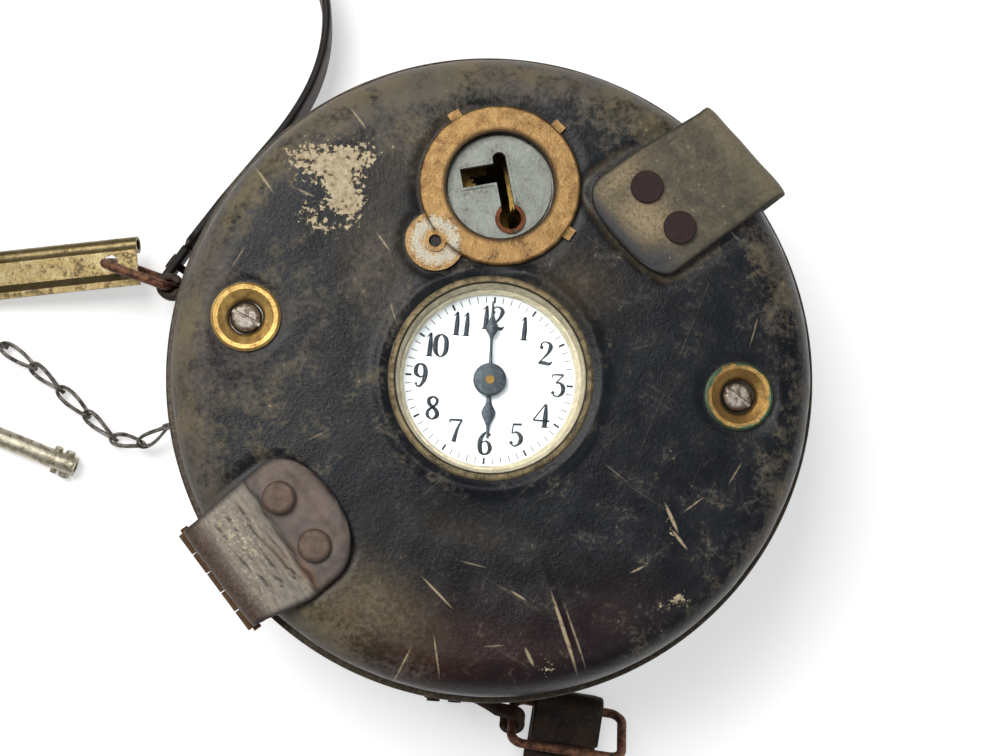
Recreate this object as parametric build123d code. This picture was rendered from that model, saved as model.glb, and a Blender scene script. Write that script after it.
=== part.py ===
from build123d import *
import math
import os

os.makedirs("parts", exist_ok=True)

# Watchman's clock lying on its back. Millimetres, +Z out of the dial, +Y towards twelve o'clock.
# The origin is the centre of the leather back. Angles are in degrees, anticlockwise from +X.

# Leather drum
body_radius = 78.0
drum_depth = 70.0
lid_inset = 1.5
lid_radius = body_radius - lid_inset
lid_depth = 13.0
body_height = drum_depth - lid_depth
leather = 3.0
rim_gap = 0.4
lid_edge_round = 9.5
back_edge_round = 4.0

# Sheet metal linings
sheet = 1.2
lining_gap = 0.3

# Dial window
dial_x = -1.0
dial_y = -1.8
window_radius = 23.3
bezel_radius = 24.1
bezel_mouth = 22.3
bezel_throat = 20.4
bezel_rise = 0.9
glass_thickness = 1.0
dial_radius = 24.0
dial_depth = 6.4
dial_top = drum_depth - dial_depth
dial_thickness = 0.8

# Key ring, key plate and station keyhole
ring_x = -2.0
ring_y = 43.9
ring_radius = 19.2
ring_bore = 12.9
ring_wall = 1.6
ring_rise = 1.1
lobe_x = -16.4
lobe_y = 29.4
lobe_radius = 7.0
eyelet_bore = 1.5
lug_angles = (127.0, 50.0, -31.0)
key_plate_radius = 12.3
key_plate_thickness = 1.4
keyhole_x = 1.0
keyhole_y = 36.5
keyhole_radius = 2.6
bush_wall = 0.6
slot_width = 3.2
slot_length = 16.2
slot_angle = 104.3
arm_centre = 11.4
arm_width = 4.6
arm_length = 9.7

# Lid screws and their dished washers
screw_insets = (16.8, 18.7)
screw_angles = (172.1, -1.7)
screw_turns = (-24.0, -34.0)
washer_radius = 8.15
washer_bore = 4.0
screw_head_radius = 3.7
screw_shank_radius = 1.9

# Hinge at the lower left, lock at the upper right
hinge_angle = 221.0
hinge_stand = 2.5
hinge_reach = body_radius + hinge_stand
hinge_width = 28.0
knuckle_radius = 2.1
pin_radius = 1.0
running_gap = 0.06
hinge_gap = 0.3
leaf_drop = 18.0
lock_angle = 45.5
lock_below_top = 24.0
lock_height = drum_depth - lock_below_top
lock_radius = 5.5
plug_radius = 3.6
lock_bore = 2.6
pipe_pin_radius = 0.9
tongue_length = 11.0
tongue_width = 4.0

# Leather tabs on the lid
tab_leather = 2.8
tab_gap = 0.4
upper_tab_inner = 43.0
upper_tab_width = 28.0
upper_tab_skew = 4.5
upper_tab_past_lock = 12.0
upper_tab_drop = lock_height - upper_tab_past_lock
lower_tab_inner = 51.5
lower_tab_width = 29.0
rivet_radius = 3.9
upper_rivet_spots = ((32.5, 45.9), (40.9, 36.9))
lower_rivet_spots = ((-48.0, -33.4), (-39.0, -43.8))

# Movement: two plates and what turns between them
plate_inset = 12.0
plate_radius = body_radius - plate_inset
plate_thickness = 1.5
back_plate_z = 8.0
front_plate_depth = 20.0
front_plate_z = drum_depth - front_plate_depth
pillar_radius = 2.6
pillar_ring = plate_radius - 6.0
pillar_angles = (20.0, 160.0, 235.0, 305.0)
arbor_radius = 1.0
pivot_gap = 0.06
pressure_angle = 20.0
tooth_addendum = 0.6
tooth_dedendum = 0.95
tooth_backlash = 0.16

train_module = 0.5
centre_module = 0.45
third_module = 0.35
fourth_module = 0.28
barrel_teeth = 96
centre_pinion_teeth = 12
centre_teeth = 96
third_pinion_teeth = 12
third_teeth = 90
fourth_pinion_teeth = 12
fourth_teeth = 80
escape_pinion_teeth = 8
escape_teeth = 15
barrel_direction = 235.0
third_direction = 330.0
fourth_direction = 290.0
escape_direction = 330.0
barrel_floor = 1.6
barrel_height = 14.0
barrel_drum = 21.6
barrel_wall = 1.0
spring_turns = 8
spring_thickness = 0.7
barrel_arbor_radius = 2.0

motion_module = 0.5
hour_module = 0.4
cannon_teeth = 12
minute_wheel_teeth = 36
minute_pinion_teeth = 12
hour_teeth = 48
time_idler_teeth = 77
motion_direction = 270.0
type_x = -16.0
type_y = 42.0
type_radius = 11.4

# Recording tape
supply_spot = (-42.0, 34.0)
takeup_spot = (40.0, 34.0)
tape_width = 25.0
tape_low = front_plate_z - tape_width - 5.0
tape_thickness = 0.3
tape_line = plate_radius - 11.8
post_spread = 30.0
supply_roll = 12.0
takeup_roll = 7.0
spool_radius = 14.0
spool_core = 4.0

# Strap, rings, chain and key
strap_width = 19.0
strap_thickness = 2.5
strap_end_width = 12.0
wire_radius = 1.2
fold_gap = 0.35
thong = 1.8
floor_gap = 0.4
left_ring_out = 15.48
left_ring_at = 165.25
left_ring_height = 14.0
left_ring_run = Vector(-0.963, 0.27, 0.0)
left_ring_rise = Vector(-0.03, -0.16, 0.987)
left_ring_half_run = 8.6
left_ring_half_height = 11.6
left_strap_heading = 58.0
left_tail = 7.0
bottom_ring_out = 11.9
bottom_ring_at = -71.79
bottom_ring_height = 10.8
bottom_ring_run = Vector(0.996, -0.087, 0.0)
bottom_ring_rise = Vector(-0.0567, -0.6475, 0.76)
bottom_ring_half_run = 14.4
bottom_ring_half_height = 8.0
bottom_tail = 9.0
ring_corner = 3.2
chain_wire = 0.75
link_reach = 9.9
link_width = 5.4
chain_slack = 0.3
key_radius = 2.5
key_height = 2.96
key_length = 46.0
key_bow_radius = 7.2
key_bow_hole = 5.1
key_bow_thickness = 1.3
key_tip = (-104.5, -26.9)
key_angle = 162.2
strip_length = 50.0
strip_width = 12.5
strip_angle = 189.0
strip_slope = 11.0

# Where the strap runs on the table, from the left ring round to the bottom ring
upright = floor_gap + strap_width / 2
flat = 1.93
strap_route = [(-66.3, 50.9, upright), (-53.6, 68.6, upright), (-47.4, 85.4, upright), (-48.4, 103.2, upright),
               (-58.6, 119.4, upright), (-78.5, 128.8, upright), (-103.0, 126.6, upright),
               (-127.0, 112.5, upright), (-146.0, 87.0, upright), (-156.6, 54.0, upright),
               (-160.4, 19.0, upright), (-158.0, -17.0, upright), (-149.4, -52.0, upright),
               (-133.0, -84.0, upright), (-108.6, -112.4, upright), (-77.0, -134.4, upright),
               (-42.0, -146.6, upright), (-8.5, -145.0, upright), (15.4, -133.4, upright),
               (25.0, -120.6, 9.25), (26.4, -110.0, 6.3), (27.0, -100.7, flat)]
strap_turns = ((upright, 0.0), (9.25, 30.0), (6.3, 60.0), (flat, 90.0))


def polar(radius, angle):
    """The point at a radius and an angle on the plan."""
    a = math.radians(angle)
    return radius * math.cos(a), radius * math.sin(a)


def wall_plane(reach, angle, z=0.0):
    """A plane facing out of the drum's side: X runs along the rim, Y is up, Z is outward."""
    x, y = polar(reach, angle)
    a = math.radians(angle)
    return Plane((x, y, z), x_dir=(-math.sin(a), math.cos(a), 0), z_dir=(math.cos(a), math.sin(a), 0))


def disc(radius, low, high, x=0.0, y=0.0):
    """An upright cylinder between two heights."""
    return Pos(x, y, low) * extrude(Circle(radius), high - low)


def tube(outer, inner, low, high, x=0.0, y=0.0):
    """An upright tube between two heights."""
    return Pos(x, y, low) * extrude(Circle(outer) - Circle(inner), high - low)


def turned(profile, x=0.0, y=0.0):
    """A solid turned about an upright axis from (radius, height) points."""
    face = make_face(Plane.XZ * Polyline(profile, close=True))
    return Pos(x, y, 0) * revolve(face, Axis.Z, 360)


def block(plane, wide, tall, deep, x=0.0, y=0.0, z=0.0):
    """A box on a wall plane, centred along the rim and upward, standing out from z."""
    return plane * Pos(x, y, z) * Box(wide, tall, deep, align=(Align.CENTER, Align.CENTER, Align.MIN))


def save(node, *solids):
    """Writes one node from its separate solids."""
    shape = solids[0] if len(solids) == 1 else Compound(children=[s for s in solids])
    export_step(shape, "parts/" + node + ".step")


# Leather body and metal case pan
floor_top = leather + sheet
pan_radius = body_radius - leather - lining_gap
pan_inner = pan_radius - sheet
lid_low = body_height + rim_gap
liner_radius = lid_radius - leather - lining_gap
liner_top = drum_depth - leather
liner_under = liner_top - sheet
barrel_reach = train_module * (barrel_teeth + centre_pinion_teeth) / 2


def offset_spot(start, distance, angle):
    """A point at a distance and an angle from another one."""
    x, y = polar(distance, angle)
    return start[0] + x, start[1] + y


centre_spot = (dial_x, dial_y)
barrel_spot = offset_spot(centre_spot, barrel_reach, barrel_direction)
third_reach = centre_module * (centre_teeth + third_pinion_teeth) / 2
third_spot = offset_spot(centre_spot, third_reach, third_direction)
fourth_reach = third_module * (third_teeth + fourth_pinion_teeth) / 2
fourth_spot = offset_spot(third_spot, fourth_reach, fourth_direction)
escape_reach = fourth_module * (fourth_teeth + escape_pinion_teeth) / 2
escape_spot = offset_spot(fourth_spot, escape_reach, escape_direction)
pallet_spot = (39.5, -26.8)
balance_spot = (44.0, -10.0)
motion_reach = motion_module * (cannon_teeth + minute_wheel_teeth) / 2
minute_wheel_spot = offset_spot(centre_spot, motion_reach, motion_direction)
winding_hole = 5.0
screw_spots = [polar(lid_radius - inset, angle) for inset, angle in zip(screw_insets, screw_angles)]


def leather_body():
    cup = disc(body_radius, 0, body_height)
    cup = fillet(cup.edges().group_by(Axis.Z)[0], back_edge_round)
    cup -= disc(body_radius - leather, leather, body_height + 1)
    cup -= disc(winding_hole, -1, leather + 1, *barrel_spot)
    lock = wall_plane(body_radius - leather - 2, lock_angle, lock_height)
    cup -= lock * extrude(Circle(lock_radius + 0.15), leather + 4)
    return cup


def case_pan():
    pan = disc(pan_radius, leather, body_height) - disc(pan_inner, floor_top, body_height + 1)
    pan -= disc(winding_hole, leather - 1, floor_top + 1, *barrel_spot)
    lock = wall_plane(pan_inner - 2, lock_angle, lock_height)
    pan -= lock * extrude(Circle(lock_radius + 0.15), sheet + 4)
    return pan


save("leather_body", leather_body())
save("case_pan", case_pan())


# Lid: the leather cap and its metal lining
def lid_openings(low, high, spread):
    """The holes that go through the lid for the window, key ring and screws."""
    holes = disc(window_radius + 0.2, low, high, dial_x, dial_y)
    holes += disc(ring_bore + ring_wall + spread, low, high, ring_x, ring_y)
    return holes


def key_cut(extra):
    """The outline of the keyhole's slot and side arm, grown by extra, from the keyhole's centre."""
    half = slot_width / 2 + extra
    end = slot_length - slot_width / 2
    slot = Pos(end / 2, 0) * Rectangle(end, 2 * half) + Pos(end, 0) * Circle(half)
    arm = Pos(arm_centre, (arm_length + extra) / 2) * Rectangle(arm_width + 2 * extra, arm_length + extra)
    return Pos(keyhole_x, keyhole_y) * Rot(0, 0, slot_angle) * (slot + arm)


def lid_leather():
    cap = disc(lid_radius, lid_low, drum_depth)
    cap = fillet(cap.edges().group_by(Axis.Z)[-1], lid_edge_round)
    hollow = disc(lid_radius - leather, lid_low - 1, liner_top)
    hollow = fillet(hollow.edges().group_by(Axis.Z)[-1], lid_edge_round - leather)
    cap -= hollow
    cap -= lid_openings(liner_top - 1, drum_depth + 1, 0.2)
    for x, y in screw_spots:
        cap -= disc(washer_radius - 1.9, liner_top - 1, drum_depth + 1, x, y)
    return cap


def lid_liner():
    shell = disc(liner_radius, lid_low, liner_top)
    shell = fillet(shell.edges().group_by(Axis.Z)[-1], lid_edge_round - leather)
    hollow = disc(liner_radius - sheet, lid_low - 1, liner_under)
    hollow = fillet(hollow.edges().group_by(Axis.Z)[-1], lid_edge_round - leather - sheet)
    shell -= hollow
    shell -= disc(window_radius + 0.2, lid_low, drum_depth, dial_x, dial_y)
    for x, y in screw_spots:
        shell += disc(4.0, liner_under - 4.5, liner_under, x, y)
        shell -= disc(screw_shank_radius + 0.05, liner_under - 3.5, liner_top + 1, x, y)
    shell -= disc(keyhole_radius + bush_wall + 0.2, lid_low, drum_depth, keyhole_x, keyhole_y)
    shell -= Pos(0, 0, lid_low) * extrude(key_cut(0.5), drum_depth - lid_low)
    return shell


save("lid_leather", lid_leather())
save("lid_liner", lid_liner())


# Dial window: a turned bezel with a groove that holds the glass
glass_low = dial_top + 3.0
bezel_slope = (bezel_mouth - bezel_throat) / (drum_depth + 0.5 - dial_top - 0.7)
glass_radius = bezel_throat + bezel_slope * (glass_low - dial_top) + 0.6


def dial_bezel():
    top = drum_depth + bezel_rise
    wall = [(bezel_throat, dial_top + 0.7), (bezel_mouth, drum_depth + 0.5), (bezel_mouth + 0.5, top),
            (bezel_radius - 0.5, top - 0.1), (bezel_radius, drum_depth + 0.4), (bezel_radius, drum_depth),
            (window_radius, drum_depth), (window_radius, liner_under), (bezel_throat + 0.9, dial_top + 0.7)]
    ring = turned(wall, dial_x, dial_y)
    return ring - disc(glass_radius + 0.05, glass_low - 0.05, glass_low + glass_thickness + 0.05, dial_x, dial_y)


save("dial_bezel", dial_bezel())
save("dial_glass", disc(glass_radius, glass_low, glass_low + glass_thickness, dial_x, dial_y))


# Key ring with its lobe, eyelet and lugs, the zinc key plate and the copper bush
def key_ring():
    high = drum_depth + ring_rise
    ring = disc(ring_radius, drum_depth, high, ring_x, ring_y)
    ring = fillet(ring.edges().group_by(Axis.Z)[-1], 0.8)
    for angle in lug_angles:
        x, y = offset_spot((ring_x, ring_y), ring_radius, angle)
        ring += Pos(x, y, drum_depth) * Rot(0, 0, angle) * Box(3.2, 3.0, 0.9, align=(
            Align.CENTER, Align.CENTER, Align.MIN))
    ring += disc(lobe_radius, drum_depth, drum_depth + 0.8, lobe_x, lobe_y)
    ring += disc(eyelet_bore + 1.0, drum_depth, drum_depth + 1.3, lobe_x, lobe_y)
    ring += disc(ring_bore + ring_wall, liner_top, drum_depth + 0.5, ring_x, ring_y)
    ring -= disc(ring_bore, liner_top - 1, high + 1, ring_x, ring_y)
    return ring - disc(eyelet_bore, drum_depth - 1, high + 1, lobe_x, lobe_y)


def key_plate():
    top = liner_top + key_plate_thickness
    plate = disc(key_plate_radius, liner_top, top, ring_x, ring_y)
    lip = Pos(0, 0, top - 0.1) * extrude(key_cut(0.6), 0.45)
    plate += lip - disc(keyhole_radius + bush_wall + 0.5, top, top + 2, keyhole_x, keyhole_y)
    plate -= Pos(0, 0, liner_top - 1) * extrude(key_cut(0.0), key_plate_thickness + 3)
    return plate - disc(keyhole_radius + bush_wall, liner_top - 1, top + 2, keyhole_x, keyhole_y)


def keyhole_bush():
    top = liner_top + key_plate_thickness
    bush = tube(keyhole_radius + bush_wall, keyhole_radius, liner_under - 4.0, top + 0.2, keyhole_x, keyhole_y)
    bush += tube(keyhole_radius + bush_wall + 0.4, keyhole_radius, top, top + 0.7, keyhole_x, keyhole_y)
    return bush - Pos(0, 0, liner_under - 5) * extrude(key_cut(0.1), 12)


save("key_ring", key_ring())
save("key_plate", key_plate())
save("keyhole_bush", keyhole_bush())


# Lid screws in their dished washers
def screw_washer(x, y):
    neck = washer_radius - 2.1
    profile = [(washer_bore, liner_top), (neck, liner_top), (neck, drum_depth), (washer_radius, drum_depth),
               (washer_radius, drum_depth + 0.25), (washer_radius - 0.6, drum_depth + 0.65),
               (washer_radius - 1.6, drum_depth + 0.55), (washer_bore + 0.6, drum_depth - 0.7),
               (washer_bore, drum_depth - 1.4)]
    return turned(profile, x, y)


def lid_screw(x, y, slot_turn):
    low = liner_top
    head = disc(screw_head_radius, low, low + 2.3, x, y)
    head = fillet(head.edges().group_by(Axis.Z)[-1], 1.6)
    shank = disc(screw_shank_radius, liner_under - 3.3, low, x, y)
    slot = Pos(x, y, low + 1.3) * Rot(0, 0, slot_turn) * Box(9, 0.9, 2, align=(
        Align.CENTER, Align.CENTER, Align.MIN))
    return head + shank - slot


save("screw_washers", *[screw_washer(x, y) for x, y in screw_spots])
save("lid_screws", *[lid_screw(x, y, turn) for (x, y), turn in zip(screw_spots, screw_turns)])


# Leather tabs, folded over the rim of the lid, and their rivets
tab_low = drum_depth + 0.05
upper_fold = body_radius + tab_gap
lower_fold = lid_radius + 2.2
rivet_seat = tab_low + tab_leather


def tab_strip(plane_angle, fold, inner, width, skew, drop):
    """A leather strip on the lid, over the rim and down, round at its inner end."""
    half = width / 2
    nose = 5.5
    bend = tab_leather + 1.2
    outside = fold + tab_leather
    slant = bend * (1 - math.sqrt(0.5))
    outline = Line((inner - 1, rivet_seat), (outside - bend, rivet_seat))
    outline += ThreePointArc((outside - bend, rivet_seat), (outside - slant, rivet_seat - slant),
                             (outside, rivet_seat - bend))
    outline += Polyline((outside, rivet_seat - bend), (outside, drop), (fold, drop), (fold, tab_low),
                        (inner - 1, tab_low), (inner - 1, rivet_seat))
    section = Plane.XZ * make_face(outline)
    bent = Pos(0, width, 0) * extrude(section, 2 * width)
    plan = Polyline([(outside, half), (inner + nose, half + skew), (inner + 0.4, half + skew - nose),
                     (inner, skew), (inner + 0.8, skew - half + nose), (inner + nose - 1, skew - half),
                     (outside, -half)], close=True)
    strip = bent & Pos(0, 0, drop - 1) * extrude(make_face(plan), rivet_seat - drop + 2)
    return Rot(0, 0, plane_angle) * strip


def upper_tab():
    strip = tab_strip(lock_angle, upper_fold, upper_tab_inner, upper_tab_width, upper_tab_skew, upper_tab_drop)
    hole = wall_plane(body_radius, lock_angle, lock_height)
    strip -= hole * extrude(Circle(lock_radius + 0.6), 8)
    for x, y in upper_rivet_spots:
        strip -= disc(1.6, tab_low - 1, rivet_seat + 1, x, y)
    return strip


def lower_tab():
    strip = tab_strip(hinge_angle, lower_fold, lower_tab_inner, lower_tab_width, 0.0, body_height + 4.2)
    for x, y in lower_rivet_spots:
        strip -= disc(1.6, tab_low - 1, rivet_seat + 1, x, y)
    return strip


def rivet(x, y, rise, rounding):
    head = disc(rivet_radius, rivet_seat, rivet_seat + rise, x, y)
    head = fillet(head.edges().group_by(Axis.Z)[-1], rounding)
    return head + disc(1.5, tab_low + 0.05, rivet_seat, x, y)


save("upper_tab", upper_tab())
save("lower_tab", lower_tab())
save("upper_rivets", *[rivet(x, y, 0.7, 0.3) for x, y in upper_rivet_spots])
save("lower_rivets", *[rivet(x, y, 1.6, 1.3) for x, y in lower_rivet_spots])


# Hinge: two leaves whose knuckles share one pin
hinge_height = body_height + rim_gap / 2
knuckle_count = 5
knuckle_pitch = hinge_width / knuckle_count
hinge_plane = wall_plane(hinge_reach, hinge_angle, hinge_height)
hinge_axis_plane = hinge_plane * Plane.YZ


def hinge_round(radius, start, end):
    """A cylinder on the hinge axis between two distances along it."""
    return hinge_axis_plane * Pos(0, 0, start) * extrude(Circle(radius), end - start)


def hinge_leaf(mine, plate):
    leaf = plate
    for k in range(knuckle_count):
        start = -hinge_width / 2 + k * knuckle_pitch
        end = start + knuckle_pitch
        if k % 2 == mine:
            leaf += hinge_round(knuckle_radius, start + 0.15, end - 0.15)
        else:
            leaf -= hinge_round(knuckle_radius + hinge_gap, start - 0.15, end + 0.15)
    return leaf - hinge_round(pin_radius + running_gap, -hinge_width, hinge_width)


def body_hinge_leaf():
    depth = hinge_reach - body_radius - 0.1
    tall = leaf_drop - 1.0
    plate = block(hinge_plane, hinge_width, tall, 1.4, y=-1.0 - tall / 2, z=-depth)
    return hinge_leaf(0, plate)


def lid_hinge_leaf():
    depth = hinge_reach - lid_radius - 0.1
    plate = block(hinge_plane, hinge_width, 3.3, 2.6, y=2.05, z=-depth)
    return hinge_leaf(1, plate)


save("body_hinge_leaf", body_hinge_leaf())
save("lid_hinge_leaf", lid_hinge_leaf())
save("hinge_pin", hinge_round(pin_radius, -hinge_width / 2 - 0.8, hinge_width / 2 + 0.8))


# Lock: a turning tongue on the body and the catch that hangs from the lid
tongue_reach = pan_inner - 5.3
tongue_plane = wall_plane(tongue_reach, lock_angle, lock_height)
lock_plane = wall_plane(0, lock_angle, lock_height)
lock_face = body_radius + 0.25
catch_side = 12.0
catch_bar_top = tongue_width / 2 + 0.5


def lock_housing():
    shell = lock_plane * Pos(0, 0, pan_inner - 1.4) * extrude(
        Circle(lock_radius) - Circle(plug_radius + running_gap), lock_face - pan_inner + 1.4)
    return shell


def lock_plug():
    plug = lock_plane * Pos(0, 0, tongue_reach + sheet) * extrude(
        Circle(plug_radius), lock_face - tongue_reach - sheet)
    plug -= lock_plane * Pos(0, 0, lock_face - 5.0) * extrude(
        Circle(lock_bore) - Circle(pipe_pin_radius), 6.0)
    return plug


def lock_tongue():
    blade = block(tongue_plane, tongue_width, tongue_length + 2.0, sheet, y=tongue_length / 2 - 1.0)
    return blade


def lid_catch():
    """A barred leg that hangs from a foot under the flat of the lid's lining."""
    foot_z = liner_under - 4.6 - lock_height
    leg_low = -catch_bar_top - 2.2
    tall = foot_z + sheet - leg_low
    side = catch_side + 1.5
    leg = block(tongue_plane, 3.0, tall, sheet, x=side, y=leg_low + tall / 2)
    bar = block(tongue_plane, catch_side - 5.0, 2.2, sheet, x=(catch_side + 5.0) / 2, y=leg_low + 1.1)
    shelf = block(tongue_plane, 3.0, sheet, 7.6 + sheet, x=side, y=foot_z + sheet / 2, z=-7.6)
    foot = block(tongue_plane, 3.0, 4.6, 3.6, x=side, y=foot_z + 2.3, z=-7.6)
    return leg + bar + shelf + foot


save("lock_housing", lock_housing())
save("lock_plug", lock_plug())
save("lock_tongue", lock_tongue())
save("lid_catch", lid_catch())


# Gears
def tooth_phase(from_phase, from_teeth, direction, to_teeth):
    """The angle of a tooth on a wheel so that it meshes with another wheel's teeth."""
    pitch = 360.0 / from_teeth
    ahead = (from_phase - direction) % pitch
    return direction + 180.0 - ahead * from_teeth / to_teeth + 180.0 / to_teeth


def gear_face(teeth, module, phase):
    """A gear outline with straight-sided teeth cut inside the true involute."""
    pitch_r = module * teeth / 2
    base_r = pitch_r * math.cos(math.radians(pressure_angle))
    root_r = pitch_r - tooth_dedendum * module
    tip_r = pitch_r + tooth_addendum * module
    half_pitch = math.pi / (2 * teeth) - tooth_backlash * module / (2 * pitch_r)
    inv_pitch = math.tan(math.radians(pressure_angle)) - math.radians(pressure_angle)

    def half_angle(radius):
        phi = math.acos(min(1.0, base_r / radius))
        return half_pitch + inv_pitch - (math.tan(phi) - phi)

    radii = [root_r, tip_r] if root_r > base_r else [root_r, base_r, pitch_r, tip_r]
    points = []
    for k in range(teeth):
        middle = math.radians(phase) + 2 * math.pi * k / teeth
        right = [(r, middle - half_angle(max(r, base_r))) for r in radii]
        left = [(r, middle + half_angle(max(r, base_r))) for r in reversed(radii)]
        points += [(r * math.cos(a), r * math.sin(a)) for r, a in right + left]
    return make_face(Polyline(points, close=True))


def gear(spot, teeth, module, phase, low, high, bore=0.0, arms=0):
    """A wheel or pinion between two heights, with crossings when it has arms."""
    face = gear_face(teeth, module, phase)
    if bore:
        face -= Circle(bore)
    rim = module * teeth / 2 - 3.0 * module - 1.2
    hub = 3.2
    if arms:
        hole = (rim - hub) / 2 - 0.5
        for k in range(arms):
            x, y = polar((rim + hub) / 2, 45.0 + 360.0 * k / arms)
            face -= Pos(x, y) * Circle(hole)
    return Pos(spot[0], spot[1], low) * extrude(face, high - low)


def arbor(spot, low, high, radius=arbor_radius):
    return disc(radius, low, high, *spot)


front_under = front_plate_z
front_top = front_plate_z + plate_thickness
back_top = back_plate_z + plate_thickness
arbor_low = back_plate_z + 0.2
arbor_high = front_top - 0.2

# Phases, from the cannon pinion and the centre wheel outwards
cannon_phase = motion_direction
minute_wheel_phase = tooth_phase(cannon_phase, cannon_teeth, motion_direction, minute_wheel_teeth)
minute_pinion_phase = motion_direction + 180.0
hour_phase = tooth_phase(minute_pinion_phase, minute_pinion_teeth, motion_direction + 180.0, hour_teeth)
idler_reach = hour_module * (hour_teeth + time_idler_teeth) / 2
span_x = type_x - dial_x
span_y = type_y - dial_y
span = math.hypot(span_x, span_y)
span_angle = math.degrees(math.atan2(span_y, span_x))
idler_bend = math.degrees(math.acos(span / 2 / idler_reach))
idler_direction = span_angle + idler_bend
idler_spot = offset_spot(centre_spot, idler_reach, idler_direction)
idler_phase = tooth_phase(hour_phase, hour_teeth, idler_direction, time_idler_teeth)
type_direction = math.degrees(math.atan2(type_y - idler_spot[1], type_x - idler_spot[0]))
type_phase = tooth_phase(idler_phase, time_idler_teeth, type_direction, hour_teeth)
type_spot = (type_x, type_y)
hub_radius = 2.4
pipe_radius = 1.9
hour_pipe_inner = pipe_radius + pivot_gap
hour_pipe_outer = hour_pipe_inner + 0.7
motion_low = front_top + 0.5


def dial_plate():
    plate = disc(dial_radius, dial_top - dial_thickness, dial_top, dial_x, dial_y)
    plate -= disc(hour_pipe_outer + 0.4, dial_top - 2, dial_top + 1, dial_x, dial_y)
    for angle in (60.0, 200.0, 300.0):
        x, y = offset_spot(centre_spot, 21.0, angle)
        plate += disc(1.2, front_top, dial_top - dial_thickness, x, y)
    return plate


def cannon_pinion():
    wheel = gear(centre_spot, cannon_teeth, motion_module, cannon_phase, motion_low, motion_low + 2.2)
    wheel += disc(pipe_radius, motion_low + 2.2, dial_top + 2.2, *centre_spot)
    return wheel - disc(arbor_radius + pivot_gap, motion_low - 1, dial_top + 3, *centre_spot)


def minute_wheel():
    wheel = gear(minute_wheel_spot, minute_wheel_teeth, motion_module, minute_wheel_phase, motion_low + 0.2,
                 motion_low + 1.2)
    wheel += gear(minute_wheel_spot, minute_pinion_teeth, hour_module, minute_pinion_phase, motion_low + 1.2,
                  motion_low + 4.4)
    return wheel - disc(arbor_radius + pivot_gap, motion_low, motion_low + 5, *minute_wheel_spot)


def hour_wheel():
    low = motion_low + 2.9
    wheel = gear(centre_spot, hour_teeth, hour_module, hour_phase, low, low + 1.2)
    wheel += disc(hour_pipe_outer, low, dial_top + 0.9, *centre_spot)
    return wheel - disc(hour_pipe_inner, low - 1, dial_top + 2, *centre_spot)


def time_idler():
    low = motion_low + 2.9
    wheel = gear(idler_spot, time_idler_teeth, hour_module, idler_phase, low, low + 1.2, arms=5)
    wheel += disc(2.6, motion_low, low, *idler_spot)
    return wheel - disc(arbor_radius + pivot_gap, motion_low - 1, low + 3, *idler_spot)


def time_type_wheel():
    low = motion_low + 2.9
    wheel = gear(type_spot, hour_teeth, hour_module, type_phase, low, low + 1.2)
    wheel += arbor(type_spot, arbor_low, low)
    wheel += disc(type_radius - 1.0, tape_low + 3.0, tape_low + 11.0, *type_spot)
    for k in range(12):
        x, y = offset_spot(type_spot, type_radius - 0.9, 90.0 + 30.0 * k)
        wheel += Pos(x, y, tape_low + 4.0) * Rot(0, 0, 30.0 * k) * Box(2.4, 1.6, 6.0, align=(
            Align.CENTER, Align.CENTER, Align.MIN))
    return wheel


# Each hand is a flat blade with a pear-shaped bulge
def hand(length, bulge_at, bulge, hub, low, thick, direction, bore):
    """A hand cut from sheet: hub, taper, pear bulge and point, in plan along +Y."""
    neck = 0.55
    blade = make_face(Polyline([(-neck, 0), (-neck, bulge_at - 2.4 * bulge), (-bulge, bulge_at - 0.6 * bulge),
                                (-bulge, bulge_at + 0.3 * bulge), (-neck, bulge_at + 1.5 * bulge),
                                (-0.2, length), (0.2, length), (neck, bulge_at + 1.5 * bulge),
                                (bulge, bulge_at + 0.3 * bulge), (bulge, bulge_at - 0.6 * bulge),
                                (neck, bulge_at - 2.4 * bulge), (neck, 0)], close=True))
    shape = blade + Circle(hub) - Circle(bore)
    return Pos(dial_x, dial_y, low) * Rot(0, 0, direction) * extrude(shape, thick)


hour_hand_low = dial_top + 0.9
minute_hand_low = dial_top + 2.2
save("dial_plate", dial_plate())
save("cannon_pinion", cannon_pinion())
save("minute_wheel", minute_wheel())
save("hour_wheel", hour_wheel())
save("time_idler", time_idler())
save("time_type_wheel", time_type_wheel())
minute_hand_length = 18.6
hour_hand_length = 13.8
minute_bulge_at = 12.6
hour_bulge_at = 8.2
minute_hand_turn = -1.5
hour_hand_turn = 178.0
save("minute_hand", hand(minute_hand_length, minute_bulge_at, 1.45, hub_radius, minute_hand_low, 0.4,
                         minute_hand_turn, arbor_radius + pivot_gap))
save("hour_hand", hand(hour_hand_length, hour_bulge_at, 1.7, hub_radius + 1.5, hour_hand_low, 0.5,
                       hour_hand_turn, pipe_radius + pivot_gap))


# Going train between the plates
barrel_low = 14.0
centre_wheel_low = 38.0
third_wheel_low = 32.5
fourth_wheel_low = 24.0
escape_wheel_low = 18.0
centre_pinion_phase = barrel_direction
barrel_phase = tooth_phase(centre_pinion_phase, centre_pinion_teeth, barrel_direction, barrel_teeth)
centre_phase = third_direction
third_pinion_phase = tooth_phase(centre_phase, centre_teeth, third_direction, third_pinion_teeth)
third_phase = fourth_direction
fourth_pinion_phase = tooth_phase(third_phase, third_teeth, fourth_direction, fourth_pinion_teeth)
fourth_phase = escape_direction
escape_pinion_phase = tooth_phase(fourth_phase, fourth_teeth, escape_direction, escape_pinion_teeth)


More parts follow.
